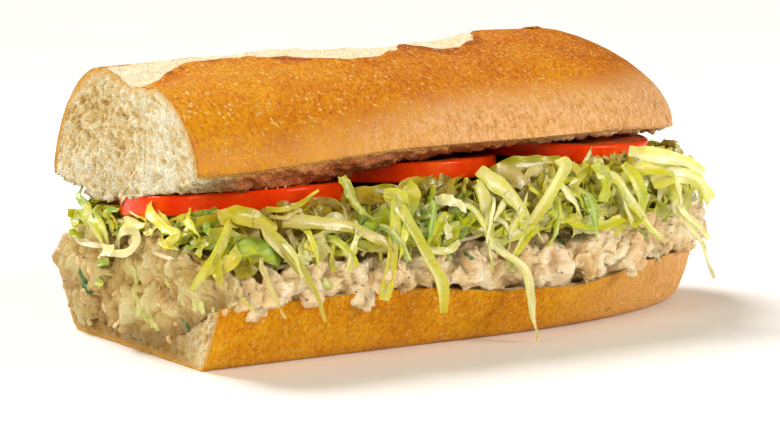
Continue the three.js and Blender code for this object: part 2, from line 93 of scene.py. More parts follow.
def plan_outline(station):
    """Half of the loaf's outline from above: straight sides, then a rounded end."""
    angle = np.clip((station - STRAIGHT_SHARE) / (1 - STRAIGHT_SHARE), 0, 1) * np.pi / 2
    straight = station <= STRAIGHT_SHARE
    round_reach = SHOULDER + (1 - SHOULDER) * np.sin(angle) ** (2 / PLAN_POWER)
    reach = np.where(straight, SHOULDER * station / STRAIGHT_SHARE, round_reach)
    width = np.where(straight, 1.0, np.abs(np.cos(angle)) ** (2 / PLAN_POWER))
    return reach, np.where(station >= 1, 0.0, width)


LATTICE = np.random.default_rng(11).uniform(-1, 1, (64, 64, 64))


def swell(points, size, octaves=1, shift=0.0):
    """Smooth random relief between about -1 and 1, with features of the given size."""
    total, weight = np.zeros(len(points)), 1.0
    for n in range(octaves):
        place = points / size + 19.7 * n + shift
        cell = np.floor(place).astype(int)
        t = ease(place - cell)
        value = np.zeros(len(points))
        for corner in np.ndindex(2, 2, 2):
            side = np.array(corner)
            share = np.prod(np.where(side, t, 1 - t), axis=1)
            i, j, k = ((cell + side) % 64).T
            value += share * LATTICE[i, j, k]
        total += weight * value
        size, weight = size / 2.1, weight / 2
    return total


def chunks(points, size, shift=0.0):
    """Random cells: how far a point is from the middle of its own and from the next, and a value."""
    place = points / size + shift
    cell = np.floor(place).astype(int)
    near, second, pick = np.full(len(points), 9.0), np.full(len(points), 9.0), np.zeros(len(points))
    for corner in np.ndindex(3, 3, 3):
        there = cell + np.array(corner) - 1
        i, j, k = (there % 64).T
        stray = np.stack([LATTICE[i, j, k], LATTICE[j, k, i], LATTICE[k, i, j]], axis=1)
        away = np.linalg.norm(place - there - 0.5 - 0.42 * stray, axis=1)
        closer = away < near
        second = np.where(closer, near, np.minimum(second, away))
        pick = np.where(closer, LATTICE[(i + 7) % 64, j, k], pick)
        near = np.where(closer, away, near)
    return near, second - near, pick


def grid_faces(rows, columns, first=0, flip=False):
    i, j = np.meshgrid(np.arange(rows), np.arange(columns), indexing="ij")
    a = (first + i * (columns + 1) + j).ravel()
    quads = np.stack([a, a + 1, a + columns + 2, a + columns + 1], axis=1)
    return quads[:, ::-1] if flip else quads


def placed(name, data):
    """The mesh, lamp or camera as an object of the scene."""
    thing = bpy.data.objects.new(name, data)
    bpy.context.scene.collection.objects.link(thing)
    return thing


def faces_out(mesh, weld=0.0):
    """Joins points closer than the weld, in millimetres, and turns the faces outwards."""
    body = bmesh.new()
    body.from_mesh(mesh)
    if weld:
        bmesh.ops.remove_doubles(body, verts=body.verts, dist=weld / 1000)
        bmesh.ops.dissolve_degenerate(body, edges=body.edges, dist=1e-7)
    bmesh.ops.recalc_face_normals(body, faces=body.faces)
    body.to_mesh(mesh)
    body.free()


def set_masks(piece, **masks):
    """Named masks with one value a point, or one for all."""
    count = len(piece.data.vertices)
    for mask, values in masks.items():
        layer = piece.data.attributes.get(mask) or piece.data.attributes.new(mask, "FLOAT", "POINT")
        layer.data.foreach_set("value", np.ascontiguousarray(np.broadcast_to(values, count), np.float32))


def mask_of(piece, mask):
    values = np.empty(len(piece.data.vertices), np.float32)
    piece.data.attributes[mask].data.foreach_get("value", values)
    return values.astype(float)


def make_piece(name, points, faces, masks=None, weld=0.0):
    """A smooth piece from points in millimetres, with its masks."""
    mesh = bpy.data.meshes.new(name)
    faces = faces if isinstance(faces, list) else faces.tolist()
    mesh.from_pydata((points / 1000 + ORIGIN).tolist(), [], faces)
    piece = placed(name, mesh)
    set_masks(piece, **(masks or {}))
    if weld:
        faces_out(mesh, weld)
    mesh.shade_smooth()
    return piece


def points_of(piece):
    flat = np.empty(len(piece.data.vertices) * 3)
    piece.data.vertices.foreach_get("co", flat)
    return (flat.reshape(-1, 3) - ORIGIN) * 1000


def move_points(piece, points):
    piece.data.vertices.foreach_set("co", (points / 1000 + ORIGIN).ravel())
    piece.data.update()


def normals_of(piece):
    flat = np.empty(len(piece.data.vertices) * 3)
    piece.data.vertex_normals.foreach_get("vector", flat)
    return flat.reshape(-1, 3)


def half_loaf(name, upper, lower, crust_is_upper, stations, chain, rows):
    """Closed shell between two surfaces that share their rim, with the cut end filled in.

    crumb is 1 off the crust, cut is 1 on the sliced end, and depth is the distance from the
    crust there, in millimetres."""
    s = np.linspace(0, 1, stations + 1)[:, None]
    t = np.linspace(0, 1, chain + 1)[None, :]
    q = 0.5 * t + 0.5 * np.arccos(1 - 2 * t) / np.pi
    top, under = upper(s, q), lower(s, q)
    r = np.linspace(0, 1, rows + 1)[:, None, None]
    cap = mix(under[:1], top[:1], r)
    crust = (top if crust_is_upper else under)[0]
    flat_cap = cap.reshape(-1, 3)
    gap = flat_cap[:, None, 1:] - crust[None, :, 1:]
    depth = np.sqrt((gap ** 2).sum(axis=2)).min(axis=1)
    count = top.shape[0] * top.shape[1]
    points = np.concatenate([top.reshape(-1, 3), under.reshape(-1, 3), flat_cap])
    faces = np.concatenate([
        grid_faces(stations, chain),
        grid_faces(stations, chain, count, flip=True),
        grid_faces(rows, chain, 2 * count),
    ])
    on_cap = np.concatenate([np.zeros(2 * count), np.ones(len(flat_cap))])
    inner = 0.0 if crust_is_upper else 1.0
    crumb = np.concatenate([np.full(count, inner), np.full(count, 1 - inner), np.ones(len(flat_cap))])
    inside = []
    for surface in (top, under):
        rim = np.where((t < 0.5)[..., None], surface[:, :1], surface[:, -1:])
        inside.append(np.sqrt(((surface - rim) ** 2).sum(axis=2)).ravel())
    far = np.concatenate([*inside, depth])
    crumb = np.where(far < 0.02, 0, crumb)
    masks = {"crumb": crumb, "cut": on_cap, "depth": far}
    return make_piece(name, points, faces, masks, weld=0.012)


def bottom_place(s, q):
    share = np.abs(np.cos(np.pi * q))
    reach, width = plan_outline(s)
    up = np.clip((share - BASE_SHARE) / (1 - BASE_SHARE), 0, 1)
    outer_tip = mix(BOTTOM_BASE_TIP, BOTTOM_TIP, np.sqrt(up))
    inner_tip = mix(BOTTOM_KEEL_TIP, BOTTOM_BASE_TIP, share / BASE_SHARE)
    x = np.where(share > BASE_SHARE, outer_tip, inner_tip) * reach
    y = BOTTOM_MIDDLE + side_of(q) * BOTTOM_HALF_WIDTH * share * width
    return x, y, share, up, width


def rim_height(x, q, width):
    back, front = along(x, BACK_RIM), along(x, FRONT_RIM)
    return mix((back + front) / 2, mix(back, front, np.clip(q * 2 - 0.5, 0, 1)), width)


def bottom_crust(s, q):
    x, y, _, up, width = bottom_place(s, q)
    return as_points(x, y, rim_height(x, q, width) * up ** SIDE_POWER)


def bottom_crumb(s, q):
    x, y, share, _, width = bottom_place(s, q)
    inner = np.minimum(1, share / LIP_SHARE)
    z = mix(CRUMB_FLOOR, rim_height(x, q, width), inner ** 2)
    return as_points(x, y, z)


def crumb_lay(points, middle, level, ring):
    """Places in the crumb measured out from a middle and round it, as the dough rose."""
    across, up = points[:, 1] - middle, points[:, 2] - level
    return np.stack([np.hypot(across, up), ring * np.arctan2(across, np.abs(up)), points[:, 0]], axis=1)


def crumb_relief(points, crumb, depth, lay):
    """Pores, tufts and torn strands of soft crumb, and none on the crust."""
    warp = np.stack([swell(points, 3.0, 1, shift) for shift in (5.0, 9.0, 13.0)], axis=1)
    near, _, pick = chunks((lay + 1.6 * warp) * [1, 0.6, 0.7], 1.9)
    pore = step(near, 0.62, 0.12) * step(pick, -0.7, 0.5)
    small = chunks(points + 0.6 * warp, 1.25, 3.0)[0]
    tufts = np.abs(swell(points, 3.4, 2, 8.0))
    broad = swell(points, 11, 1, 2.0)
    height = 0.3 - 0.95 * pore - 0.45 * step(small, 0.6, 0.1) + 0.7 * tufts + 0.5 * broad
    return crumb * step(depth, 0.3, 2.4) * height


def set_lay(piece, lay):
    layer = piece.data.attributes.new("lay", "FLOAT_VECTOR", "POINT")
    layer.data.foreach_set("vector", np.ascontiguousarray(lay, np.float32).ravel())


bread_bottom = half_loaf("bread_bottom_crust", bottom_crumb, bottom_crust, False, 190, 120, 16)
points, normals = points_of(bread_bottom), normals_of(bread_bottom)
x, y, z = points.T
crumb, cut, depth = (mask_of(bread_bottom, name) for name in ("crumb", "cut", "depth"))
lay = crumb_lay(points, BOTTOM_MIDDLE, 60, 50)
soft_relief = crumb_relief(points, crumb, depth, lay)
on_base = step(z, 2.5, 0.4) * (normals[:, 2] < -0.4)
crust_relief = 0.55 * swell(points, 26, 2) + 0.16 * swell(points, 5, 2)
relief = (1 - crumb) * (1 - on_base) * crust_relief + 0.55 * soft_relief
relief = np.where(z < 0.05, 0, relief)
moved = points + normals * relief[:, None]
moved[:, 2] = np.maximum(moved[:, 2], 0)
move_points(bread_bottom, moved)
set_lay(bread_bottom, lay)
set_masks(
    # Painted shade in the crumb's pores; a paler right end, with flour and a painted sheen; a few painted
    # glints.
    bread_bottom, slash=0, juice=0, fleck=0.15, flour=0.8 * step(x, 100, 160), pit=0.5 - 0.5 * soft_relief,
    bake=0.14 + 0.04 * step(z, 2, 14) - 0.06 * step(x, 90, 160) + 0.04 * swell(points, 30),
    # The cut face is browner towards the back: tuna smear and painted shade.
    smear=cut * mix(0.05, 0.95, step(y, -40, -20)), rind=cut * step(depth, 1.6, 0))


def rgb(red, green, blue):
    """Colour from the usual 0 to 255 values."""
    def linear(value):
        value /= 255
        return value / 12.92 if value <= 0.04045 else ((value + 0.055) / 1.055) ** 2.4
    return (linear(red), linear(green), linear(blue), 1.0)


def new_material(name):
    finish = bpy.data.materials.new(name)
    finish.use_nodes = True
    finish.node_tree.nodes.clear()
    tree = finish.node_tree
    shader = tree.nodes.new("ShaderNodeBsdfPrincipled")
    output = tree.nodes.new("ShaderNodeOutputMaterial")
    tree.links.new(shader.outputs["BSDF"], output.inputs["Surface"])
    return finish, tree, shader


def set_inputs(tree, node, values):
    """Each input of a node set to a value or joined to a socket."""
    for socket, value in values.items():
        if isinstance(value, bpy.types.NodeSocket):
            tree.links.new(value, node.inputs[socket])
        else:
            node.inputs[socket].default_value = value


def add(tree, kind, values=None, **settings):
    """A node with its settings and its inputs."""
    node = tree.nodes.new(kind)
    for setting, value in settings.items():
        setattr(node, setting, value)
    set_inputs(tree, node, values or {})
    return node


def mm_place(tree, stretch=(1, 1, 1)):
    """The place on the piece in millimetres, stretched where a pattern is."""
    coords = add(tree, "ShaderNodeTexCoord").outputs["Object"]
    scale = [1000 * value for value in stretch]
    return add(tree, "ShaderNodeMapping", {"Vector": coords, "Scale": scale}).outputs["Vector"]


def mottle(tree, place, size, detail=3.0, rough=0.55):
    """Cloudy noise with features of the given size in millimetres."""
    values = {"Vector": place, "Scale": 1 / size, "Detail": detail, "Roughness": rough}
    return add(tree, "ShaderNodeTexNoise", values).outputs["Fac"]


def cells(tree, place, size, feature="F1"):
    """Distance to the middle of the nearest random cell, or to its edge."""
    values = {"Vector": place, "Scale": 1 / size}
    return add(tree, "ShaderNodeTexVoronoi", values, feature=feature).outputs["Distance"]


def attribute(tree, name):
    return add(tree, "ShaderNodeAttribute", attribute_name=name).outputs["Fac"]


def ramp(tree, source, stops):
    """Colours or greys at places between 0 and 1."""
    node = add(tree, "ShaderNodeValToRGB", {"Fac": source})
    band = node.color_ramp
    while len(band.elements) < len(stops):
        band.elements.new(0.5)
    for element, (place, colour) in zip(band.elements, stops):
        element.position = place
        element.color = colour if isinstance(colour, tuple) else (colour, colour, colour, 1.0)
    return node.outputs["Color"]


def sum_of(tree, *terms):
    """Adds sockets, each times its weight: (socket, weight), (socket, weight)."""
    total = 0.0
    for socket, weight in terms:
        values = {0: socket, 1: weight, 2: total}
        total = add(tree, "ShaderNodeMath", values, operation="MULTIPLY_ADD").outputs[0]
    return total


def times(tree, a, b):
    return add(tree, "ShaderNodeMath", {0: a, 1: b}, operation="MULTIPLY").outputs[0]


def blend(tree, share, a, b, mode="MIX"):
    """The second colour over the first by a share."""
    return add(tree, "ShaderNodeMix", {0: share, 6: a, 7: b}, data_type="RGBA", blend_type=mode).outputs[2]


def bump(tree, height, distance):
    """Relief of the given height in millimetres."""
    values = {"Height": height, "Distance": distance / 1000, "Strength": 1.0}
    return add(tree, "ShaderNodeBump", values).outputs["Normal"]


def speckle_group():
    """Specks of chosen size, share and reach: how far a point is inside one, from 0 to 1."""
    tree = bpy.data.node_groups.new("specks", "ShaderNodeTree")
    face = tree.interface
    face.new_socket("Vector", in_out="INPUT", socket_type="NodeSocketVector")
    for name in ("Size", "Share", "Edge"):
        face.new_socket(name, in_out="INPUT", socket_type="NodeSocketFloat")
    face.new_socket("Mask", in_out="OUTPUT", socket_type="NodeSocketFloat")
    source, target = tree.nodes.new("NodeGroupInput").outputs, tree.nodes.new("NodeGroupOutput")
    scale = add(tree, "ShaderNodeMath", {0: 1.0, 1: source["Size"]}, operation="DIVIDE").outputs[0]
    spots = add(tree, "ShaderNodeTexVoronoi", {"Vector": source["Vector"], "Scale": scale}).outputs
    inside = times(tree, source["Edge"], 0.45)
    reach = {"Value": spots["Distance"], "From Min": source["Edge"], "From Max": inside}
    near = add(tree, "ShaderNodeMapRange", reach, interpolation_type="SMOOTHSTEP").outputs["Result"]
    pick = add(tree, "ShaderNodeSeparateColor", {0: spots["Color"]}).outputs[0]
    chosen = add(tree, "ShaderNodeMath", {0: source["Share"], 1: pick}, operation="GREATER_THAN").outputs[0]
    tree.links.new(times(tree, near, chosen), target.inputs["Mask"])
    return tree


specks = speckle_group()


def specks_on(tree, place, size, share, edge):
    values = {"Vector": place, "Size": size, "Share": share, "Edge": edge}
    return add(tree, "ShaderNodeGroup", values, node_tree=specks).outputs["Mask"]


def stray(tree, place, size, amount):
    """The place pushed about at random, so that a pattern loses its roundness."""
    values = {"Vector": place, "Scale": 1 / size, "Detail": 2.0}
    noise = add(tree, "ShaderNodeTexNoise", values).outputs["Color"]
    push = add(tree, "ShaderNodeVectorMath", {0: noise, 1: (0.5, 0.5, 0.5)}, operation="SUBTRACT").outputs[0]
    values = {0: push, 1: (amount, amount, amount), 2: place}
    return add(tree, "ShaderNodeVectorMath", values, operation="MULTIPLY_ADD").outputs[0]


def bread_material():
    finish, tree, shader = new_material("baked bread")
    place = mm_place(tree)
    crumb, bake, slash, depth, flour, pit, smear, juice, fleck, rind = (attribute(tree, name) for name in (
        "crumb", "bake", "slash", "depth", "flour", "pit", "smear", "juice", "fleck", "rind"))

    broad = mottle(tree, place, 13, 4)
    fine = mottle(tree, place, 1.3, 4, 0.65)
    grain = mottle(tree, place, 0.75, 2, 0.6)
    wrinkles = mottle(tree, mm_place(tree, (1.0, 0.4, 0.35)), 1.0, 2, 0.6)
    # Pale blisters on the crust, partly painted highlight.
    blister = ramp(tree, cells(tree, place, 1.3), [(0.1, 1.0), (0.36, 0.0)])
    chosen = ramp(tree, mottle(tree, place, 3, 3), [(0.5, 0.0), (0.58, 1.0)])
    blister = times(tree, blister, chosen)
    # Painted glints: small pale specks of highlight, most of them high on the crust towards the cut end.
    flecks = specks_on(tree, stray(tree, place, 1.0, 0.9), 2.3, 0.5, 0.3)
    flecks = times(tree, flecks, fleck)

    brown = sum_of(tree, (bake, 1.0), (broad, 0.3), (fine, 0.5), (wrinkles, 0.28), (blister, -0.1))
    crust = ramp(tree, brown, [
        (0.46, rgb(248, 196, 84)),
        (0.60, rgb(238, 174, 22)),
        (0.74, rgb(218, 142, 2)),
        (0.88, rgb(196, 106, 2)),
        (1.0, rgb(156, 72, 6)),
    ])
    # Paler peach where floured: flour dust and a painted sheen.
    dusty = ramp(tree, sum_of(tree, (fine, 0.5), (wrinkles, 0.5)), [
        (0.37, rgb(206, 138, 72)),
        (0.6, rgb(254, 206, 152)),
    ])
    crust = blend(tree, times(tree, flour, 0.8), crust, dusty)
    cracks = specks_on(tree, stray(tree, mm_place(tree, (1.0, 1.0, 0.4)), 2.0, 1.2), 8.0, 0.35, 0.09)
    crust = blend(tree, times(tree, times(tree, cracks, flour), 0.7), crust, rgb(150, 76, 16))
    # The blisters paler, partly as painted highlight, and the glint specks paler still, as painted highlight.
    crust = blend(tree, blister, crust, rgb(246, 204, 120))
    crust = blend(tree, times(tree, flecks, 0.85), crust, rgb(255, 222, 150))

    lay = add(tree, "ShaderNodeAttribute", attribute_name="lay").outputs["Vector"]
    along_crust = add(tree, "ShaderNodeMapping", {"Vector": lay, "Scale": (1.0, 0.6, 0.8)}).outputs["Vector"]
    loose = stray(tree, along_crust, 1.6, 1.3)
    strands = mottle(tree, along_crust, 1.0, 5, 0.7)
    hollow = ramp(tree, cells(tree, loose, 1.7), [(0.05, 1.0), (0.5, 0.0)])
    wall = ramp(tree, cells(tree, loose, 1.7, "DISTANCE_TO_EDGE"), [(0.0, 1.0), (0.13, 0.0)])
    thin_wall = cells(tree, stray(tree, place, 1.0, 0.8), 0.95, "DISTANCE_TO_EDGE")
    thin_wall = ramp(tree, thin_wall, [(0.0, 1.0), (0.16, 0.0)])
    webs = sum_of(tree, (wall, 0.6), (thin_wall, 0.5))
    cloud = mottle(tree, place, 4.5, 3)
    # Painted shade and highlight in the crumb: darker where its relief is low and in the hollows, lighter on
    # the walls between them.
    soft = sum_of(tree, (pit, 0.4), (strands, 0.45), (hollow, 0.24), (webs, -0.3), (cloud, 0.3))
    pale = ramp(tree, soft, [
        (0.32, rgb(255, 250, 222)),
        (0.45, rgb(247, 224, 167)),
        (0.63, rgb(226, 192, 122)),
        (0.92, rgb(170, 127, 64)),
    ])
    # Crumb browned: part smear of tuna salad, part painted shade.
    stain = ramp(tree, mottle(tree, place, 5, 3), [(0.35, 0.66), (0.65, 0.92)])
    pale = blend(tree, times(tree, smear, stain), pale, rgb(156, 114, 18))
    # Red-brown crumb under the top half: tomato juice, painted shade and painted red light from the tomato.
    pale = blend(tree, times(tree, juice, 0.85), pale, rgb(206, 98, 30))
    edge = ramp(tree, sum_of(tree, (depth, 0.2), (strands, 0.25)), [(0.16, 1.0), (0.62, 0.0)])
    pale = blend(tree, times(tree, edge, 0.7), pale, rgb(232, 182, 100))
    pale = blend(tree, rind, pale, rgb(228, 172, 84))
    stretched = ramp(tree, mottle(tree, mm_place(tree, (0.35, 1.0, 1.0)), 1.6, 4, 0.65), [
        (0.35, rgb(250, 224, 168)),
        (0.55, rgb(253, 243, 210)),
    ])

    ragged = mottle(tree, place, 2.4, 3, 0.6)
    torn = ramp(tree, sum_of(tree, (slash, 1.0), (ragged, 0.5)), [(0.62, 0.0), (0.82, 1.0)])
    colour = blend(tree, torn, crust, stretched)
    colour = blend(tree, crumb, colour, pale)

    open_face = add(tree, "ShaderNodeMath", {0: torn, 1: crumb}, operation="MAXIMUM").outputs[0]
    rough = ramp(tree, sum_of(tree, (fine, 0.5), (broad, 0.4), (flour, 0.3)), [(0.3, 0.34), (0.7, 0.6)])
    rough = blend(tree, open_face, rough, (0.85, 0.85, 0.85, 1))
    shell_height = sum_of(tree, (fine, 0.8), (grain, 0.5), (wrinkles, 0.8), (blister, 0.4), (flecks, 0.5),
                          (cracks, -1.2))
    crumb_height = sum_of(tree, (strands, 1.3), (webs, 1.1), (hollow, -0.9))
    crumb_height = times(tree, crumb_height, sum_of(tree, (crumb, 0.55), (torn, 0.45)))
    height = blend(tree, open_face, shell_height, crumb_height)
    set_inputs(tree, shader, {
        "Base Color": colour, "Roughness": rough, "Normal": bump(tree, height, 0.95),
        "Specular IOR Level": 0.24, "Specular Tint": (1.0, 0.7, 0.2, 1),
    })
    return finish


bread = bread_material()
bread_bottom.data.materials.append(bread)
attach(bread_bottom, "root")
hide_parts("bread_bottom")

# The tuna salad: flaked fish, celery and herbs bound with mayonnaise, spooned into a mound
# that swells over the crust in soft lumps.
TUNA_CUT, TUNA_TIP, TUNA_TOP_TIP = -1.6, 178.0, 146.0
TUNA_HALF_WIDTH, TUNA_MIDDLE = 46.6, 22.5
TUNA_RISE, TUNA_FALL, TUNA_UNDER_ANGLE = 9.5, 13.0, 0.5
TUNA_SIDE_POWER = 0.85
TUNA_SINK = 0.2
TUNA_VOXEL = 0.8
TUNA_DRAWN = 0.15
SIDE_LUMPS, CUT_LUMPS = 260, 150
CRUMB_LIP = 17.5
SWELL_BROAD, SWELL_FINE = 0.37, 0.79
DRIPS = [[9, 20], [14, 18], [24, 20], [27, 19], [62, 20], [88, 17.5], [100, 15.5], [118, 14.5], [131, 17]]
OVERHANG = [[38, 15], [36.8, 11.6], [35.2, 8.2], [33, 13], [32.4, 9.4], [31.4, 6.2], [28.4, 10], [27.6, 6.4],
            [25, 8], [22.6, 5.8], [18, 6.6], [14.4, 5.4], [8, 5.2], [1, 5.2], [-6, 5.4], [-13, 5.6]]


def lumpiness(x, y, z):
    across = 2 * np.sin(0.05 * y + 0.8)
    broad = np.sin(SWELL_BROAD * x + across) * np.sin(SWELL_BROAD * (z + x / 2))
    fine = np.sin(SWELL_FINE * (x - z / 2) + 1.5 * np.sin(SWELL_BROAD * z))
    return 2.1 * broad + 0.8 * fine


def tuna_upper(s, q):
    away = np.abs(1 - 2 * q)
    angle = mix(np.pi / 2, -TUNA_UNDER_ANGLE, away)
    share = np.maximum(0, np.cos(angle)) ** TUNA_SIDE_POWER
    reach, width = plan_outline(s)
    x = TUNA_CUT + (mix(TUNA_TOP_TIP, TUNA_TIP, share) - TUNA_CUT) * reach
    y = side_of(q) * TUNA_HALF_WIDTH * np.where(q == 0.5, 0, share) * width
    z = TUNA_MIDDLE + np.where(angle < 0, TUNA_FALL, TUNA_RISE) * np.sin(angle)
    lump = lumpiness(x, y, z) * np.clip((share - 0.45) / 0.3, 0, 1)
    x = x + lump * reach * (1 - width)
    y = BOTTOM_MIDDLE + y * (1 + lump / TUNA_HALF_WIDTH)
    return as_points(x, y, z + 0.35 * lump)


def tuna_lower(s, q):
    away = np.abs(1 - 2 * q)
    edge = tuna_upper(s, np.where(q < 0.5, 0.0, 1.0) + 0 * s)
    x, y, z_edge = edge[..., 0], edge[..., 1], edge[..., 2]
    reach, width = plan_outline(s)
    keel = TUNA_CUT + (BOTTOM_KEEL_TIP - TUNA_CUT) * reach
    z = mix(CRUMB_FLOOR, rim_height(x, q, width), away ** 2) - TUNA_SINK
    z = np.where(away >= 1, z_edge, z)
    return np.stack([mix(keel, x, away), BOTTOM_MIDDLE + (y - BOTTOM_MIDDLE) * away, z], axis=-1)


def drawn_in(points, share):
    """Draws the filling in at the back of the cut end, where it keeps clear of the crust."""
    near = np.maximum(0, points[:, 1] - 10) * step(points[:, 0], 22, 2) * step(points[:, 2], 14, 26)
    return points - np.stack([0 * near, share * near, 0 * near], axis=1)


def blob(middle, radii, random, rings=1):
    """A rough rounded lump turned at random."""
    body = bmesh.new()
    bmesh.ops.create_icosphere(body, subdivisions=rings + 1, radius=1)
    shape = np.array([v.co[:] for v in body.verts])
    faces = np.array([[v.index for v in face.verts] for face in body.faces])
    body.free()
    shape *= 1 + 0.22 * random.uniform(-1, 1, (len(shape), 1))
    turn = np.linalg.qr(random.normal(size=(3, 3)))[0]
    if np.linalg.det(turn) < 0:
        turn[:, 0] *= -1
    shape = (shape @ np.diag([1.0, 0.72, 0.5])) @ turn.T
    return shape * np.array(radii) + np.array(middle), faces


def join_parts(parts):
    points, faces, first = [], [], 0
    for part_points, part_faces in parts:
        points.append(part_points)
        faces.append(part_faces + first)
        first += len(part_points)
    return np.concatenate(points), np.concatenate(faces)


def core_parts(upper, lower, stations, chain):
    s = np.linspace(0, 1, stations + 1)[:, None]
    q = np.linspace(0, 1, chain + 1)[None, :]
    top, under = upper(s, q), lower(s, q)
    count = top.shape[0] * top.shape[1]
    points = np.concatenate([top.reshape(-1, 3), under.reshape(-1, 3)])
    j = np.arange(chain)
    cap = np.stack([j, count + j, count + j + 1, j + 1], axis=1)
    quads = np.concatenate([
        grid_faces(stations, chain), grid_faces(stations, chain, count, flip=True), cap,
    ])
    triangles = np.concatenate([quads[:, [0, 1, 2]], quads[:, [0, 2, 3]]])
    return points, triangles


def crumb_level(across):
    """Height of the lower crumb at a share of the way from its middle to the rim."""
    return mix(CRUMB_FLOOR, CRUMB_LIP, across ** 2)


def tuna_parts():
    """The mound, lumps along its sides and on the cut, drips down the front and an overhang."""
    random = np.random.default_rng(31)
    core, core_faces = core_parts(tuna_upper, tuna_lower, 70, 60)
    parts = [(core, core_faces)]
    for n in range(SIDE_LUMPS):
        s = min(0.985, (n + random.random()) / SIDE_LUMPS)
        across = random.random()
        q = mix(0.80, 1.0, across) if n % 5 < 3 else mix(0.2, 0.0, across)
        middle = tuna_upper(np.array([[s]]), np.array([[q]]))[0, 0]
        middle[1] = BOTTOM_MIDDLE + (middle[1] - BOTTOM_MIDDLE) * random.uniform(0.955, 0.985)
        size = mix(2.4, 8.0, random.random() ** 1.4)
        parts.append(blob(middle, [size * 1.15, size * 0.62, size * 0.9], random))
    for n in range(CUT_LUMPS):
        across = random.uniform(-0.93, 0.93)
        floor, roof = crumb_level(across) + 5, 30.5 - 4 * across ** 2
        middle = [random.uniform(-1.6, 0.6), BOTTOM_MIDDLE + BOTTOM_HALF_WIDTH * across,
                  mix(floor, roof, random.random())]
        size = mix(2.0, 7.0, random.random() ** 1.4)
        parts.append(blob(middle, [size * 0.45, size, size * 0.9], random))
    for x, z in DRIPS:
        middle = [x, BOTTOM_MIDDLE - 44.6, z + 1.2]
        parts.append(blob(middle, [5.4, 2.6, 3.6], random))
    for across, height in OVERHANG:
        parts.append(blob([-0.7, across, height], [1.6, 3.8, 3.4], random))
    points, faces = join_parts(parts)
    return drawn_in(points, TUNA_DRAWN), faces


def remeshed(name, points, faces, voxel):
    """The parts melted into one closed skin."""
    rough_piece = make_piece(name + "_rough", points, faces)
    modifier = rough_piece.modifiers.new("melt", "REMESH")
    modifier.mode, modifier.voxel_size = "VOXEL", voxel / 1000
    soft = rough_piece.modifiers.new("soften", "SMOOTH")
    soft.factor, soft.iterations = 0.5, 2
    scene_now = bpy.context.evaluated_depsgraph_get()
    mesh = bpy.data.meshes.new_from_object(rough_piece.evaluated_get(scene_now))
    bpy.data.objects.remove(rough_piece)
    mesh.name = name
    mesh.shade_smooth()
    return placed(name, mesh)


tuna = remeshed("tuna_salad_mound", *tuna_parts(), TUNA_VOXEL)
points, normals = points_of(tuna), normals_of(tuna)
x, y, z = points.T
shows = step(np.abs(y - BOTTOM_MIDDLE) + BOTTOM_HALF_WIDTH * (x < 3) + 1.2 * np.maximum(0, x - 135), 34, 42)
on_cut = step(x, 2.5, 0.5)
foot = z - crumb_level(np.clip((y - BOTTOM_MIDDLE) / BOTTOM_HALF_WIDTH, -1, 1))
at_foot = step(foot, 9, 1.5) * on_cut * step(y, -4, -14)
points[:, 0] = mix(x, np.maximum(x, -0.35), at_foot)
warp = np.stack([swell(points, 6.0, 2, shift) for shift in (31.0, 37.0, 43.0)], axis=1)
near, gap, pick = chunks(points * mix(1, 0.68, on_cut)[:, None] + 3.4 * warp, 7.5)
_, gap_small, pick_small = chunks(points + 1.4 * warp, 3.4, 5.0)
crease, crease_small = step(gap, 0.24, 0.0), step(gap_small, 0.26, 0.0) * (1 - 0.6 * on_cut)
folds = 1 - 2.6 * np.abs(swell(points + 2.4 * warp, 8.0, 1))
flakes = 1 - 2.6 * np.abs(swell(points + 1.6 * warp, 3.2, 2, 12.0))
dome = np.clip(1 - (near / 0.6) ** 2, -0.6, 1)
relief = 1.0 * pick - 0.9 * crease + 0.3 * pick_small - 0.3 * crease_small + 0.45 * folds + 0.25 * flakes
relief += (0.4 + 0.7 * on_cut) * dome
relief *= shows * (1 - 0.75 * at_foot) * mix(1, 0.3, on_cut * step(y, 26, 38))
moved = points + normals * relief[:, None]
moved[:, 1] -= 0.6 * on_cut * np.maximum(0, moved[:, 1] - 40)
move_points(tuna, moved)
# Painted shade: the colour is darker in the creases between lumps and lighter on the lumps, and darker over
# the whole cut end.
shade = 0.3 + 0.14 * crease + 0.06 * crease_small - 0.1 * pick - 0.08 * flakes
shade += 0.25 * swell(points, 9.0, 2, 21.0)
shade += on_cut * (0.1 + 0.16 * crease - 0.14 * (dome + 0.6 * pick))
# Low on the cut end, most at the front, the tuna salad is painted the brown of the crumb: smear and painted
# shade.
low = step(foot + 3 * swell(points, 5, 2, 5.0), 7, 1)
set_masks(tuna, flake=shade, blush=step(pick + 0.5 * pick_small, 0.3, 0.9), scatter=shows, cut=step(x, 8, 1),
          smear=on_cut * mix(0.25, 1, step(y, 10, -10)) * low)


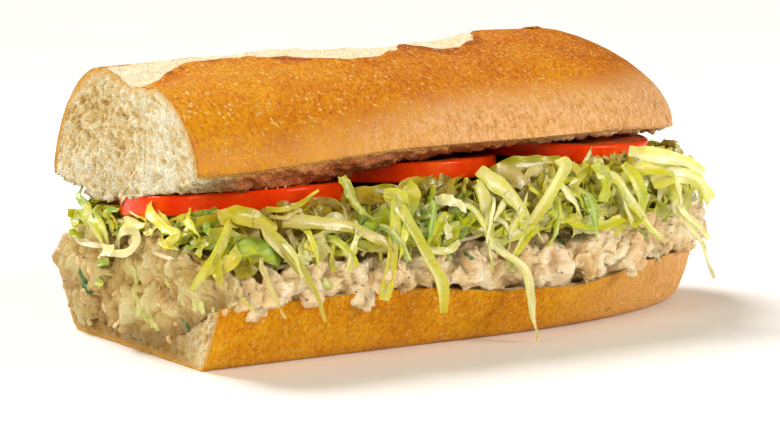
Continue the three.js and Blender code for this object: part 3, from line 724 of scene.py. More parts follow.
def tuna_material():
    finish, tree, shader = new_material("tuna salad")
    place = mm_place(tree)
    flake = attribute(tree, "flake")
    broad = mottle(tree, place, 7, 4, 0.6)
    fine = mottle(tree, place, 1.1, 4, 0.65)
    fibre = mottle(tree, mm_place(tree, (0.5, 1.0, 1.6)), 1.4, 3, 0.6)
    # Colour darker in the creases and lighter on the lumps, as painted shade, with random clouds.
    shade = sum_of(tree, (flake, 0.6), (broad, 0.35), (fine, 0.25), (fibre, 0.15))
    colour = ramp(tree, shade, [
        (0.42, rgb(252, 238, 204)),
        (0.6, rgb(238, 212, 158)),
        (0.8, rgb(216, 176, 112)),
        (1.0, rgb(160, 108, 54)),
    ])
    colour = blend(tree, times(tree, attribute(tree, "blush"), 0.4), colour, rgb(234, 184, 134))
    cream = specks_on(tree, stray(tree, place, 1.6, 2.0), 3.0, 0.35, 0.36)
    colour = blend(tree, times(tree, cream, 0.7), colour, rgb(255, 244, 216))
    # Brown at the foot of the cut end: smear and painted shade.
    colour = blend(tree, attribute(tree, "smear"), colour, rgb(168, 128, 60))
    grains = specks_on(tree, place, 3.2, 0.35, 0.085)
    colour = blend(tree, grains, colour, rgb(86, 64, 48))
    # Painted shade: the whole cut end is darkened.
    colour = blend(tree, attribute(tree, "cut"), colour, rgb(216, 219, 185), "MULTIPLY")
    height = sum_of(tree, (fine, 0.5), (fibre, 0.9), (broad, 0.8), (cream, 0.4))
    set_inputs(tree, shader, {
        "Base Color": colour, "Roughness": ramp(tree, broad, [(0.35, 0.16), (0.65, 0.32)]),
        "Normal": bump(tree, height, 0.8), "Specular IOR Level": 0.5, "Subsurface Weight": 0.25,
        "Subsurface Radius": (0.003, 0.002, 0.001), "Subsurface Scale": 0.5,
    })
    return finish


tuna.data.materials.append(tuna_material())
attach(tuna, "root")
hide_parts("tuna_salad")

# Flakes of fish, herbs, celery and pepper that show in the tuna salad. The larger ones sit
# where the photograph shows them, [across, height] on the cut and [along, height] in front.
CELERY_BITS = [
    ("cut", [[-2.7, 22.8], [-4, 19], [-5.3, 15.3], [-9, 11.6], [-15.7, 8.6]], 1.25),
    ("cut", [[-36.6, 18.9], [-39.2, 18.4]], 2.5),
    ("cut", [[-18.7, 22.2], [-20.3, 20.3]], 0.8),
    ("cut", [[-43.7, 18.1], [-43.4, 17.2]], 0.7),
    ("front", [[30, 22.5], [31.5, 21.5]], 1.3),
    ("front", [[88, 22], [90.5, 20.5]], 1.4),
    ("front", [[134, 27], [136, 25]], 1.6),
]
HERB_BITS = [
    ("cut", [[26.8, 17.4], [25.6, 14.8], [20.5, 12.8]], 1.2),
    ("cut", [[-28.8, 12.6], [-31, 10], [-34.5, 7.9]], 0.9),
    ("front", [[66.3, 29.8], [69, 28], [72.1, 26.1]], 0.8),
    ("front", [[74.6, 26.1], [75.2, 25]], 0.6),
    ("front", [[110, 26], [111, 24.4]], 0.8),
]


def on_surface(piece, view, across, height):
    """The point of the piece's skin that a straight look at the cut or the front meets."""
    start, ahead = ([-30, across, height], (1, 0, 0)) if view == "cut" else ([across, -80, height], (0, 1, 0))
    now = piece.evaluated_get(bpy.context.evaluated_depsgraph_get())
    hit, place, _, _ = now.ray_cast(Vector(np.array(start) / 1000 + ORIGIN), Vector(ahead))
    return (np.array(place) - ORIGIN) * 1000 if hit else None


def pressed_in(name, rows, thick, voxel, seed):
    """Small flat pieces pressed into the tuna salad along short lines."""
    random, parts = np.random.default_rng(seed), []
    for view, line, radius in rows:
        knots = np.array(line, float)
        for t in np.linspace(0, len(knots) - 1, 4 * len(knots) - 3):
            n = min(int(t), len(knots) - 2)
            place = on_surface(tuna, view, *mix(knots[n], knots[n + 1], t - n))
            if place is not None:
                radii = [thick, radius, radius] if view == "cut" else [radius, thick, radius]
                parts.append(blob(place, np.array(radii) * 1.3, random))
    return remeshed(name, *join_parts(parts), voxel)


def scatter_tree():
    """Scatters turned copies of a small shape over a piece, where its scatter mask allows."""
    tree = bpy.data.node_groups.new("scatter on a surface", "GeometryNodeTree")
    face = tree.interface
    face.new_socket("Geometry", in_out="INPUT", socket_type="NodeSocketGeometry")
    for name, kind in (("Shape", "Object"), ("Density", "Float"), ("Smallest", "Float"), ("Largest", "Float"),
                       ("Lift", "Float"), ("Seed", "Int"), ("Material", "Material")):
        face.new_socket(name, in_out="INPUT", socket_type="NodeSocket" + kind)
    face.new_socket("Geometry", in_out="OUTPUT", socket_type="NodeSocketGeometry")
    source, target = tree.nodes.new("NodeGroupInput").outputs, tree.nodes.new("NodeGroupOutput")
    mask = add(tree, "GeometryNodeInputNamedAttribute", {"Name": "scatter"}, data_type="FLOAT")
    density = times(tree, mask.outputs["Attribute"], source["Density"])
    spread = add(tree, "GeometryNodeDistributePointsOnFaces", {
        "Mesh": source["Geometry"], "Density": density, "Seed": source["Seed"]}).outputs
    lift = add(tree, "ShaderNodeVectorMath", {
        0: spread["Normal"], "Scale": source["Lift"]}, operation="SCALE")
    spots = add(tree, "GeometryNodeSetPosition", {"Geometry": spread["Points"], "Offset": lift.outputs[0]})
    spin = add(tree, "FunctionNodeRandomValue", {
        0: (-0.5, -0.5, 0), 1: (0.5, 0.5, 6.28), "Seed": source["Seed"]}, data_type="FLOAT_VECTOR")
    turn = add(tree, "FunctionNodeRotateRotation", {0: spread["Rotation"], 1: spin.outputs[0]},
               rotation_space="LOCAL")
    size = add(tree, "FunctionNodeRandomValue", {
        0: source["Smallest"], 1: source["Largest"], "Seed": source["Seed"]}, data_type="FLOAT_VECTOR")
    shape = add(tree, "GeometryNodeObjectInfo", {"Object": source["Shape"]})
    copies = add(tree, "GeometryNodeInstanceOnPoints", {
        "Points": spots.outputs[0], "Instance": shape.outputs["Geometry"], "Rotation": turn.outputs[0],
        "Scale": size.outputs[0]})
    real = add(tree, "GeometryNodeRealizeInstances", {"Geometry": copies.outputs[0]})
    painted = add(tree, "GeometryNodeSetMaterial", {
        "Geometry": real.outputs[0], "Material": source["Material"]})
    tree.links.new(painted.outputs[0], target.inputs["Geometry"])
    return tree


scatter = scatter_tree()


def scattered(name, surface, radii, seed, density, smallest, largest, lift, material):
    """Small pieces of about the given radii, so many to the square millimetre of the surface."""
    shape_points, shape_faces = blob([0, 0, 0], radii, np.random.default_rng(seed), 0)
    shape_mesh = bpy.data.meshes.new(name + "_shape")
    shape_mesh.from_pydata((shape_points / 1000).tolist(), [], shape_faces.tolist())
    shape = placed(name + "_shape", shape_mesh)
    piece = placed(name, surface.data.copy())
    modifier = piece.modifiers.new("scatter", "NODES")
    modifier.node_group = scatter
    values = {"Shape": shape, "Density": density * 1e6, "Smallest": smallest, "Largest": largest,
              "Lift": lift / 1000, "Seed": seed, "Material": material}
    for socket in scatter.interface.items_tree:
        if socket.in_out == "INPUT" and socket.name in values:
            modifier[socket.identifier] = values[socket.name]
    mesh = bpy.data.meshes.new_from_object(piece.evaluated_get(bpy.context.evaluated_depsgraph_get()))
    piece.modifiers.clear()
    piece.data = mesh
    bpy.data.objects.remove(shape)
    return piece


def bit_material(name, dark, light, pale, rough, gloss):
    """One colour of small moist pieces, mottled."""
    finish, tree, shader = new_material(name)
    place = mm_place(tree)
    cloud, fine = mottle(tree, place, 2.4, 3), mottle(tree, place, 0.7, 3, 0.6)
    shade = sum_of(tree, (cloud, 0.7), (fine, 0.4))
    colour = ramp(tree, shade, [(0.35, rgb(*dark)), (0.55, rgb(*light)), (0.75, rgb(*pale))])
    set_inputs(tree, shader, {
        "Base Color": colour, "Roughness": ramp(tree, fine, [(0.35, rough), (0.7, rough + 0.2)]),
        "Normal": bump(tree, fine, 0.3), "Specular IOR Level": gloss,
    })
    return finish


fish = bit_material("flaked fish", (206, 156, 104), (226, 188, 138), (244, 222, 178), 0.25, 0.5)
herb = bit_material("herb leaf", (38, 70, 28), (78, 112, 54), (150, 164, 104), 0.35, 0.4)
celery = bit_material("celery", (164, 168, 66), (196, 196, 106), (228, 224, 162), 0.2, 0.5)
pepper = bit_material("ground pepper", (40, 30, 24), (84, 64, 48), (128, 100, 76), 0.5, 0.3)

for piece, material in (
    (scattered("fish_flakes", tuna, [2.0, 1.4, 0.8], 3, 0.010, 0.4, 1.5, -0.1, fish), fish),
    (scattered("herb_flecks", tuna, [0.6, 0.45, 0.25], 5, 0.006, 0.5, 1.3, 0.05, herb), herb),
    (scattered("pepper_grains", tuna, [0.26, 0.22, 0.2], 7, 0.02, 0.5, 1.3, 0.05, pepper), pepper),
    (pressed_in("celery_bits", CELERY_BITS, 0.75, 0.3, 8), celery),
    (pressed_in("herb_leaves", HERB_BITS, 0.55, 0.25, 9), herb),
):
    if not piece.data.materials:
        piece.data.materials.append(material)
    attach(piece, "root")

# Onion: thin raw arcs cut from across the bulb, laid on the tuna salad. They are wet and
# slightly see-through, with fine lines along the arc.
ONION_OUTER, ONION_INNER, ONION_THICK = 26.0, 19.0, 1.6
ONION_SLICES = [
    ([22, -21, 29.6], 150, 290, -0.06, -0.08),
    ([72, -21, 31.0], 215, 325, 0.0, -0.06),
    ([20, 17, 28.2], 75, 190, -0.08, 0.1),
    ([150, -8, 30.4], 255, 350, 0.05, -0.02),
]


def lay_down(points, middle, right, back):
    turn = Vector((0, 0, 1)).rotation_difference(Vector((right, back, 1)).normalized())
    return points @ np.array(turn.to_matrix()).T + np.array(middle)


def tube(points):
    """Skin round rings of points, rings along the first axis, with both ends closed."""
    rings, around = points.shape[:2]
    faces = []
    for j in range(around):
        k = (j + 1) % around
        i = np.arange(rings - 1) * around
        faces.append(np.stack([i + j, i + around + j, i + around + k, i + k], axis=1))
    faces = np.concatenate(faces).tolist()
    last = (rings - 1) * around
    faces.append(list(range(around)))
    faces.append([last + j for j in reversed(range(around))])
    return points.reshape(-1, 3), faces


def onion_arc(name, middle, start, end, right, back, seed):
    """A slightly dished arc of one onion ring, between two angles in degrees."""
    ring = np.linspace(0, 2 * np.pi, 17)[:-1]
    across = (ONION_OUTER - ONION_INNER) / 2
    rows = []
    for t in np.linspace(0, 1, 41):
        angle = np.radians(mix(start, end, t))
        end_round = np.sqrt(np.clip(1 - (2 * t - 1) ** 14, 0, 1)) * 0.98 + 0.02
        r = (ONION_OUTER + ONION_INNER) / 2 + 0.5 * np.sin(3 * angle + seed)
        wide = np.sign(np.cos(ring)) * np.abs(np.cos(ring)) ** 0.6 * across * end_round
        thick = np.sign(np.sin(ring)) * np.abs(np.sin(ring)) ** 0.6 * ONION_THICK / 2
        dish = 0.5 * (wide / across) ** 2 + 0.35 * np.sin(2 * angle + seed)
        radius = r + wide
        rows.append(np.stack([radius * np.cos(angle), radius * np.sin(angle), thick + dish], axis=1))
    points, faces = tube(np.array(rows))
    piece = make_piece(name, lay_down(points, middle, right, back), faces)
    faces_out(piece.data)
    return piece


def onion_material():
    finish, tree, shader = new_material("raw onion")
    place = mm_place(tree)
    lines = mottle(tree, mm_place(tree, (0.15, 1.0, 1.0)), 1.2, 2)
    cloud = mottle(tree, place, 6, 3)
    colour = ramp(tree, sum_of(tree, (lines, 0.4), (cloud, 0.6)), [
        (0.3, rgb(244, 234, 206)),
        (0.6, rgb(228, 210, 168)),
        (0.8, rgb(200, 176, 126)),
    ])
    set_inputs(tree, shader, {
        "Base Color": colour, "Roughness": ramp(tree, cloud, [(0.3, 0.14), (0.7, 0.3)]),
        "Normal": bump(tree, lines, 0.2), "Subsurface Weight": 0.5,
        "Subsurface Radius": (0.004, 0.004, 0.003), "Subsurface Scale": 0.6, "Coat Weight": 0.25,
        "Coat Roughness": 0.12,
    })
    return finish


raw_onion = onion_material()
for number, (middle, start, end, right, back) in enumerate(ONION_SLICES, 1):
    onion = onion_arc(f"onion_arc_{number}", middle, start, end, right, back, number)
    onion.data.materials.append(raw_onion)
    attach(onion, "root")
    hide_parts(f"onion_{number}")

# Shredded lettuce: crisp strips cut across the head, white and thick at the ribs, thin and
# yellow-green at the edges. They lie in a springy heap, and some hang over the side.
LETTUCE_CUT, LETTUCE_TIP, LETTUCE_TOP_TIP = 2.0, 172.0, 146.0
LETTUCE_HALF_WIDTH, LETTUCE_BOTTOM = 42.0, 30.5
LETTUCE_TOP = [[0, 37], [26, 38.2], [76, 43], [128, 46.5], [172, 43]]
LETTUCE_LEAN = [[0, 4], [60, 3], [128, 0.5]]
LETTUCE_DRAWN, CORE_INSET = 0.28, 1.6
LEAF_THICK = 0.34
SIDE_STRIPS, FALLING_STRIPS, CUT_STRIPS = 640, 46, 80

# Towards the camera: 32.5 degrees round to the left of the front and 9 degrees up.
TO_VIEWER = np.array([-0.5307, -0.8330, 0.1564])
SIDE_PLANE = -46.0


def lettuce_top(x, y):
    return along(x, LETTUCE_TOP) - along(x, LETTUCE_LEAN) * y / LETTUCE_HALF_WIDTH


def lettuce_surface(s, q, is_top, inset=0.0):
    share = np.abs(np.cos(np.pi * q))
    reach, width = plan_outline(s)
    x = LETTUCE_CUT + (mix(LETTUCE_TOP_TIP, LETTUCE_TIP, share) - LETTUCE_CUT) * reach
    y = BOTTOM_MIDDLE + side_of(q) * (LETTUCE_HALF_WIDTH - inset) * share * width
    top = lettuce_top(x, y) - inset
    middle = mix(LETTUCE_BOTTOM, top, 0.4)
    z = mix(middle, top if is_top else LETTUCE_BOTTOM, np.sqrt(np.clip(1 - share ** 4, 0, 1)))
    return as_points(x, y, z)


def smooth_path(knots, count):
    """Catmull-Rom curve through the knots."""
    knots = np.array(knots, float)
    if len(knots) == 2:
        knots = np.array([knots[0], knots.mean(axis=0), knots[1]])
    padded = np.concatenate([[2 * knots[0] - knots[1]], knots, [2 * knots[-1] - knots[-2]]])
    t = np.linspace(0, len(knots) - 1 - 1e-9, count)
    i, f = np.floor(t).astype(int), (t - np.floor(t))[:, None]
    a, b, c, d = padded[i], padded[i + 1], padded[i + 2], padded[i + 3]
    return 0.5 * (2 * b + (c - a) * f + (2 * a - 5 * b + 4 * c - d) * f ** 2
                  + (3 * b - a - 3 * c + d) * f ** 3)


class Leaves:
    """Gathers strips of leaf into one mesh with their masks."""

    def __init__(self):
        self.points, self.faces, self.first = [], [], 0
        self.masks = {"rib": [], "tone": [], "deep": []}

    def strip(self, knots, width, facing, random, twist, fold, ripple, rib, tone, count, across, taper=0.7,
              deep=0.0):
        """A strip along knots: twisted, folded along its rib and rippled at its edges."""
        path = smooth_path(knots, count)
        ahead = np.gradient(path, axis=0)
        ahead /= np.linalg.norm(ahead, axis=1)[:, None] + 1e-9
        t = np.linspace(0, 1, count)
        normal = np.tile(np.array(facing, float), (count, 1))
        normal -= (normal * ahead).sum(axis=1)[:, None] * ahead
        normal /= np.linalg.norm(normal, axis=1)[:, None] + 1e-9
        wide = np.cross(ahead, normal)
        turn = (twist * (t - 0.3))[:, None]
        wide, normal = (wide * np.cos(turn) + normal * np.sin(turn),
                        normal * np.cos(turn) - wide * np.sin(turn))
        phase = random.uniform(0, 6.28, 4)
        pointed = random.random()
        tip = np.where(pointed > 0.6, np.clip((1 - t) * 3, 0.12, 1), 1.0)
        size = width * (taper + (1 - taper) * np.sin(np.pi * t ** 0.8)) * tip
        size *= 1 + 0.12 * np.sin(9 * t + phase[0]) + 0.06 * np.sin(23 * t + phase[1])
        u = np.linspace(-1, 1, across)
        wave_left = np.sin(2 * np.pi * t * random.uniform(1.4, 4.0) + phase[1])
        wave_right = np.sin(2 * np.pi * t * random.uniform(1.4, 4.0) + phase[2])
        edge = np.where(u[None, :] > 0, wave_right[:, None], wave_left[:, None])
        crease = np.abs(u[None, :] - 0.25 * np.sin(phase[3]))
        lift = fold * size[:, None] * (crease - 0.4) + ripple * edge * np.abs(u[None, :]) ** 1.5
        rib_line = np.exp(-((u[None, :] - 0.5 * np.sin(phase[3])) / 0.45) ** 2)
        body = LEAF_THICK * (0.6 + 0.9 * rib * rib_line)
        grid = path[:, None] + wide[:, None] * (u[None, :, None] * size[:, None, None] / 2)
        upper = grid + normal[:, None] * (lift + body / 2)[..., None]
        lower = grid + normal[:, None] * (lift - body / 2)[..., None]
        ring = np.concatenate([upper, lower[:, ::-1]], axis=1)
        points, faces = tube(ring)
        around = 2 * across
        self.points.append(points)
        self.faces += [[self.first + index for index in face] for face in faces]
        self.first += len(points)
        ribs = np.broadcast_to(rib + (rib_line - 0.5) * 0.35, (count, across))
        self.masks["rib"].append(np.concatenate([ribs, ribs[:, ::-1]], axis=1).ravel())
        self.masks["tone"].append(np.full(count * around, tone))
        self.masks["deep"].append(np.full(count * around, deep))

    def build(self, name):
        masks = {mask: np.concatenate(values) for mask, values in self.masks.items()}
        points = drawn_in(np.concatenate(self.points), LETTUCE_DRAWN)
        piece = make_piece(name, points, self.faces, masks)
        faces_out(piece.data)
        piece.data.set_sharp_from_angle(angle=math.radians(38))
        return piece


def on_side(x, z, y):
    """A point that keeps its place seen from the front left when it comes out of the side plane."""
    out = (y - SIDE_PLANE) / TO_VIEWER[1]
    return [x + TO_VIEWER[0] * out, y, z + TO_VIEWER[2] * out]


def heap_frame(s, q, height):
    """A point on the heap's outline with the directions out of it and along it."""
    def edge(station):
        return lettuce_surface(np.array([[station]]), np.array([[q]]), True)[0, 0]
    here, before, after = edge(s), edge(max(0, s - 0.01)), edge(min(1, s + 0.01))
    forward = (after - before) * [1, 1, 0]
    forward /= np.linalg.norm(forward)
    out = np.array([forward[1], -forward[0], 0]) * (1 if q > 0.5 else -1)
    return np.array([here[0], here[1], height]), forward, out


leaves = Leaves()
random = np.random.default_rng(5)
FRONT = np.array([-0.25, -1.0, 0.25])

# Strips that lie along the heap's side, one over another.
for n in range(SIDE_STRIPS):
    s, q = random.uniform(0.0, 0.99), 1.0 if n % 10 < 6 else 0.0
    base, forward, out = heap_frame(s, q, 0)
    roof = lettuce_top(base[0], base[1]) - 0.4
    level = random.random()
    proud = mix(4.2, -1.0, level) + random.uniform(-1.4, 1.2)
    middle = base + out * proud + [0, 0, mix(31.0, roof, level)]
    length, bend = random.uniform(7, 20), random.uniform(-2.4, 2.4)
    heading = random.normal(0, 0.55) if n % 3 else random.uniform(-1.6, 1.6)
    tuck, flick = random.uniform(0, 3.5), random.uniform(-2.5, 1.5)
    knots, spot = [], np.zeros(3)
    for t in np.linspace(-0.5, 0.5, 6):
        turn = heading + bend * t
        spot = spot + (forward * np.cos(turn) + np.array([0, 0, 1]) * np.sin(turn)) * length / 5
        knots.append(spot + out * (-tuck * (2 * t) ** 2 + flick * t + 0.5 * random.uniform(-1, 1)))
    knots = np.array(knots) - np.mean(knots, axis=0) + middle
    knots[:, 2] = np.minimum(knots[:, 2], roof + 0.6)
    wide = n % 4 == 0
    width = random.uniform(3.6, 7.0) if wide else random.uniform(1.4, 3.4)
    right = step(base[0], 70, 130)
    # Strips low in the heap, and those on the left, are painted darker as shade, less so at the right.
    leaves.strip(knots, width, out + [0, 0, 0.5 * random.uniform(-1, 1)], random,
                 twist=random.uniform(-2.6, 2.6), fold=random.uniform(-0.4, 0.5),
                 ripple=random.uniform(0.2, 0.6) * (2 if wide else 1),
                 rib=0.05 + 0.2 * right + 0.7 * random.random() ** 2,
                 tone=random.random() * mix(1, 0.7, right), count=12, across=4,
                 deep=step(proud - 2.4 * step(base[0], 60, 10), 3.2, -0.5) * mix(1, 0.4, right))

# Strips that fall over the tuna salad, at the back, the end and the front.
for n in range(FALLING_STRIPS):
    s, q = mix(0.02, 0.97, (n + random.random()) / FALLING_STRIPS), n % 2
    base, forward, out = heap_frame(s, float(q), 0)
    start = lettuce_top(base[0], base[1]) - random.uniform(3, 8)
    drop = random.uniform(5, 14)
    lean = random.uniform(-10, 10)
    side = 8.2 if start - drop < LETTUCE_BOTTOM + 1 else random.uniform(3, 6)
    knots = [
        base - out * 4 - forward * lean * 0.3 + [0, 0, start - 1],
        base + out * side * 0.7 + forward * lean * 0.1 + [0, 0, start],
        base + out * side + forward * lean * 0.6 + [0, 0, start - drop * 0.45],
        base + out * (side + 0.4) + forward * lean + [0, 0, start - drop],
    ]
    leaves.strip(knots, random.uniform(1.6, 3.2), out, random, twist=random.uniform(-1.6, 1.6),
                 fold=random.uniform(-0.2, 0.4), ripple=random.uniform(0.1, 0.5),
                 rib=random.uniform(0.1, 0.8), tone=random.random(), count=18, across=5)

# Long shreds of the front: knots of [along, height], how proud, width, rib, tone, twist, fold.
LONG_SHREDS = [
    ([[9, 40], [13, 39], [15.4, 35.8], [22, 29], [28.3, 20.6], [32, 11.8]], -50.6, 4.4, 0.45, 0.45, 0.5, 0.3),
    ([[12.5, 31], [13.3, 27], [17, 19], [19.8, 13.8]], -50.8, 1.9, 0.75, 0.6, 0.4, 0.2),
    ([[50, 44], [54.3, 43], [53.7, 40], [52.6, 27], [50, 15.6]], -50.4, 4.6, 0.3, 0.3, -0.3, 0.35),
    ([[51, 43.5], [55.6, 38.9], [63.5, 26], [68, 18.7], [68.3, 10.5]], -51.0, 4.2, 0.42, 0.4, 0.5, 0.35),
    ([[82, 31], [87, 25.6], [95, 19.7], [96.6, 12.4], [98.3, 4.5], [99.4, -0.6]],
     -50.6, 3.4, 0.6, 0.55, 0.4, 0.25),
    ([[19, 39], [24.5, 38.7], [38, 36.4], [47.5, 32.4], [53.6, 29.4]], -50.0, 4.4, 0.5, 0.45, 0.4, 0.2),
    ([[5, 40], [3, 39.5], [-1, 31.8], [-8, 24]], -48.8, 3.6, 0.3, 0.6, 0.3, 0.2),
    ([[0, 41.6], [5, 42.4], [11, 40.6], [17.4, 37.6]], -48.6, 6.4, 0.1, 0.3, 0.4, -0.2),
    ([[-3, 37.5], [3, 36.8], [9, 33.4], [10.5, 29]], -47.6, 5.4, 0.1, 0.75, 0.5, 0.2),
    ([[14, 43], [19, 42.4], [25, 43.6], [30, 46.6]], -48.4, 2.0, 0.1, 0.35, 1.2, 0.2),
    ([[15, 41], [20, 40.2], [24, 41.4], [27, 39.4]], -48.8, 1.6, 0.6, 0.35, 1.6, 0.2),
    ([[3.2, 36.8], [-0.4, 28.9], [1.0, 23.8]], -49.4, 3.6, 0.1, 0.7, 0.3, 0.2),
    ([[6.3, 20.7], [10.2, 16.9]], -49.6, 1.6, 0.6, 0.3, 0.3, 0.2),
    ([[20.5, 36.9], [23.5, 31.4], [22.5, 28]], -49.4, 2.6, 0.7, 0.5, 0.5, 0.2),
    ([[66, 41], [71, 40.4], [76, 37.8]], -49.2, 4.0, 1.0, 0.3, 0.3, 0.2),
    ([[84, 46.5], [92, 48.6], [101, 48.6], [110, 47]], -35.0, 6.0, 0.3, 0.3, 0.4, 0.2),
    ([[88, 44.5], [96, 45.6], [104, 46.8], [112, 47.8]], -41.0, 4.0, 0.5, 0.4, 0.9, 0.2),
    ([[38, 43.5], [46, 44.8], [53, 44.6], [60, 43]], -38.0, 5.0, 0.25, 0.4, 0.5, 0.2),
    ([[138, 40], [146, 41.6], [154, 38.6], [158, 33]], -46.4, 6.4, 0.5, 0.3, 0.6, 0.2),
    ([[128, 42], [136, 44.4], [145, 43], [150, 38]], -45.6, 6.0, 0.4, 0.3, 0.7, 0.2),
    ([[67, 37], [69.5, 33.8], [70.5, 30.2]], -49.4, 3.0, 1.0, 0.3, 0.3, 0.2),
    ([[37, 49.5], [38.5, 47], [41, 42.0], [48.7, 35.8]], -47.6, 3.8, 0.3, 0.75, 0.6, 0.25),
    ([[57, 47], [58.4, 42], [58.6, 35.5]], -47.4, 6.0, 0.2, 0.35, 0.2, 0.25),
    ([[106, 49], [107.6, 45.9], [98.8, 34], [92, 29.5], [85.7, 28.0]], -48.8, 4.6, 0.5, 0.5, -0.6, 0.2),
    ([[79, 44], [80.7, 42.5], [83, 32.6], [84.4, 19.9]], -49.4, 4.0, 0.55, 0.5, 0.3, 0.3),
    ([[80, 48], [85, 44], [92, 38], [96, 30]], -48.2, 6.0, 0.5, 0.4, 0.5, 0.3),
    ([[100, 36], [94, 27], [90, 22]], -49.2, 3.6, 0.4, 0.4, 0.4, 0.3),
    ([[130, 49.5], [136, 48.2], [148, 45.4], [156, 41.6]], -46.2, 5.2, 0.6, 0.35, 0.3, 0.12),
    ([[148, 33], [149, 30.8], [158, 22.7]], -46.8, 2.6, 0.7, 0.55, 0.3, 0.2),
    ([[148, 32], [150.5, 27.6], [155, 21.8], [160, 11]], -46.6, 2.4, 0.8, 0.6, 0.6, 0.2),
    ([[120, 45], [125.4, 41.7], [134, 31], [141, 23.6]], -47.4, 3.6, 0.45, 0.5, 0.5, 0.25),
    ([[110, 41], [114, 38], [116, 34], [115, 30]], -47.6, 4.4, 0.35, 0.5, 0.6, 0.3),
    ([[106, 34], [113, 31], [122, 29.5], [128, 31]], -47.8, 4.6, 0.3, 0.4, 0.5, 0.4),
    ([[118, 47], [122, 42], [121, 36]], -46.8, 5.2, 0.2, 0.5, 0.3, 0.25),
    ([[128, 46], [133, 40], [134, 33], [131, 28.5]], -46.8, 4.4, 0.3, 0.55, 0.5, 0.3),
    ([[56, 33.6], [66, 32.5], [76, 34.2], [80, 37.5]], -48.8, 3.4, 0.3, 0.65, 0.9, 0.3),
    ([[60, 31], [64, 28], [70, 27], [74, 29]], -49.8, 2.8, 0.6, 0.5, 0.6, 0.3),
]
# Shreds on the left are painted darker, as shade.
for knots, y, width, rib, tone, twist, fold in LONG_SHREDS:
    path = [on_side(x, z, y + (2.4 if n == 0 else 0)) for n, (x, z) in enumerate(knots)]
    leaves.strip(path, 0.72 * width, FRONT, random, twist=twist, fold=fold, ripple=0.5, rib=rib, tone=tone,
                 count=30, across=6, taper=0.8, deep=0.55 * step(knots[0][0], 62, 18))

# Shreds at the cut end: knots of [across, height], width, rib, tone, twist.
CUT_SHREDS = [
    ([[36.5, 41.6], [30, 38.8], [23.5, 36.5], [17.5, 35.2]], 2.4, 0.3, 0.9, 0.4),
    ([[32.5, 34.0], [23.5, 35.2], [15, 34.4], [8.2, 31.6], [5.5, 27.1]], 3.0, 0.4, 0.75, 0.9),
    ([[33.5, 27.5], [30.5, 30], [25, 31.8]], 2.6, 0.3, 0.7, 0.5),
    ([[15, 35.7], [8.1, 37], [1.8, 37.9]], 1.6, 0.1, 1.0, 0.4),
    ([[7.8, 27], [-2, 32.4], [-8.7, 33.9], [-10.3, 30.9], [-4.7, 27.4], [7, 25.7]], 2.5, 0.9, 0.3, 0.9),
    ([[13, 24.7], [6.7, 26.4], [1, 27.2]], 3.6, 1.0, 0.3, 0.3),
    ([[18.5, 20.3], [14.5, 17.1], [11.5, 16.1]], 2.2, 0.3, 0.8, 0.4),
    ([[18.5, 20.8], [11.5, 22.2], [5.6, 23.3]], 2.0, 0.2, 0.9, 0.5),
    ([[1.9, 33.8], [-7.6, 35.9], [-15.9, 35.9]], 3.0, 0.5, 0.4, 1.1),
    ([[-10.5, 38.1], [-21.4, 38.5], [-27.8, 37]], 3.6, 0.3, 0.2, 0.6),
    ([[20, 37], [17.7, 34.6], [12, 30.5], [7.6, 27.2]], 2.6, 0.45, 0.6, 0.4),
    ([[-12, 42.6], [-21, 40.2], [-28.5, 37.2], [-34.4, 36.6], [-29.6, 33.2]], 2.6, 0.25, 0.3, 0.5),
    ([[2, 40], [-6, 38.9], [-14, 37.4]], 1.8, 0.3, 0.2, 0.7),
    ([[-10, 36.4], [-17, 34.2], [-22, 36.8]], 2.2, 0.6, 0.4, 0.9),
    ([[-20, 34.6], [-27, 33], [-35, 32.6]], 2.0, 0.2, 0.3, 0.6),
    ([[-30, 41.6], [-36, 40], [-42, 36.8]], 2.4, 0.3, 0.2, 0.6),
]
for number, (knots, width, rib, tone, twist) in enumerate(CUT_SHREDS):
    path = [[-3.4 - 1.2 * (number % 3) + (4.0 if n == 0 else 0), y, z] for n, (y, z) in enumerate(knots)]
    leaves.strip(path, width, [-1.0, -0.3, 0.3], random, twist=twist, fold=0.25, ripple=0.35,
                 rib=rib, tone=tone, count=24, across=7, taper=0.8)

# More strips stick out of the cut end and cover the heap there.
for n in range(CUT_STRIPS):
    y = random.uniform(-42, 36)
    x = random.uniform(-1.5, 3.5)
    z = mix(32, lettuce_top(2, y) - 0.5, random.random())
    lean = random.uniform(-7, 7)
    knots = [[x + 6, y - lean, z + 1], [x, y - lean * 0.3, z + 1],
             [x - 1.5, y + lean, z + random.uniform(-4, 1.0)]]
    leaves.strip(knots, random.uniform(1.4, 3.6), [-1, 0, 0.4], random, twist=random.uniform(-2, 2),
                 fold=random.uniform(-0.2, 0.35), ripple=0.4, rib=0.15 + 0.7 * random.random() ** 2,
                 tone=random.random(), count=14, across=5)


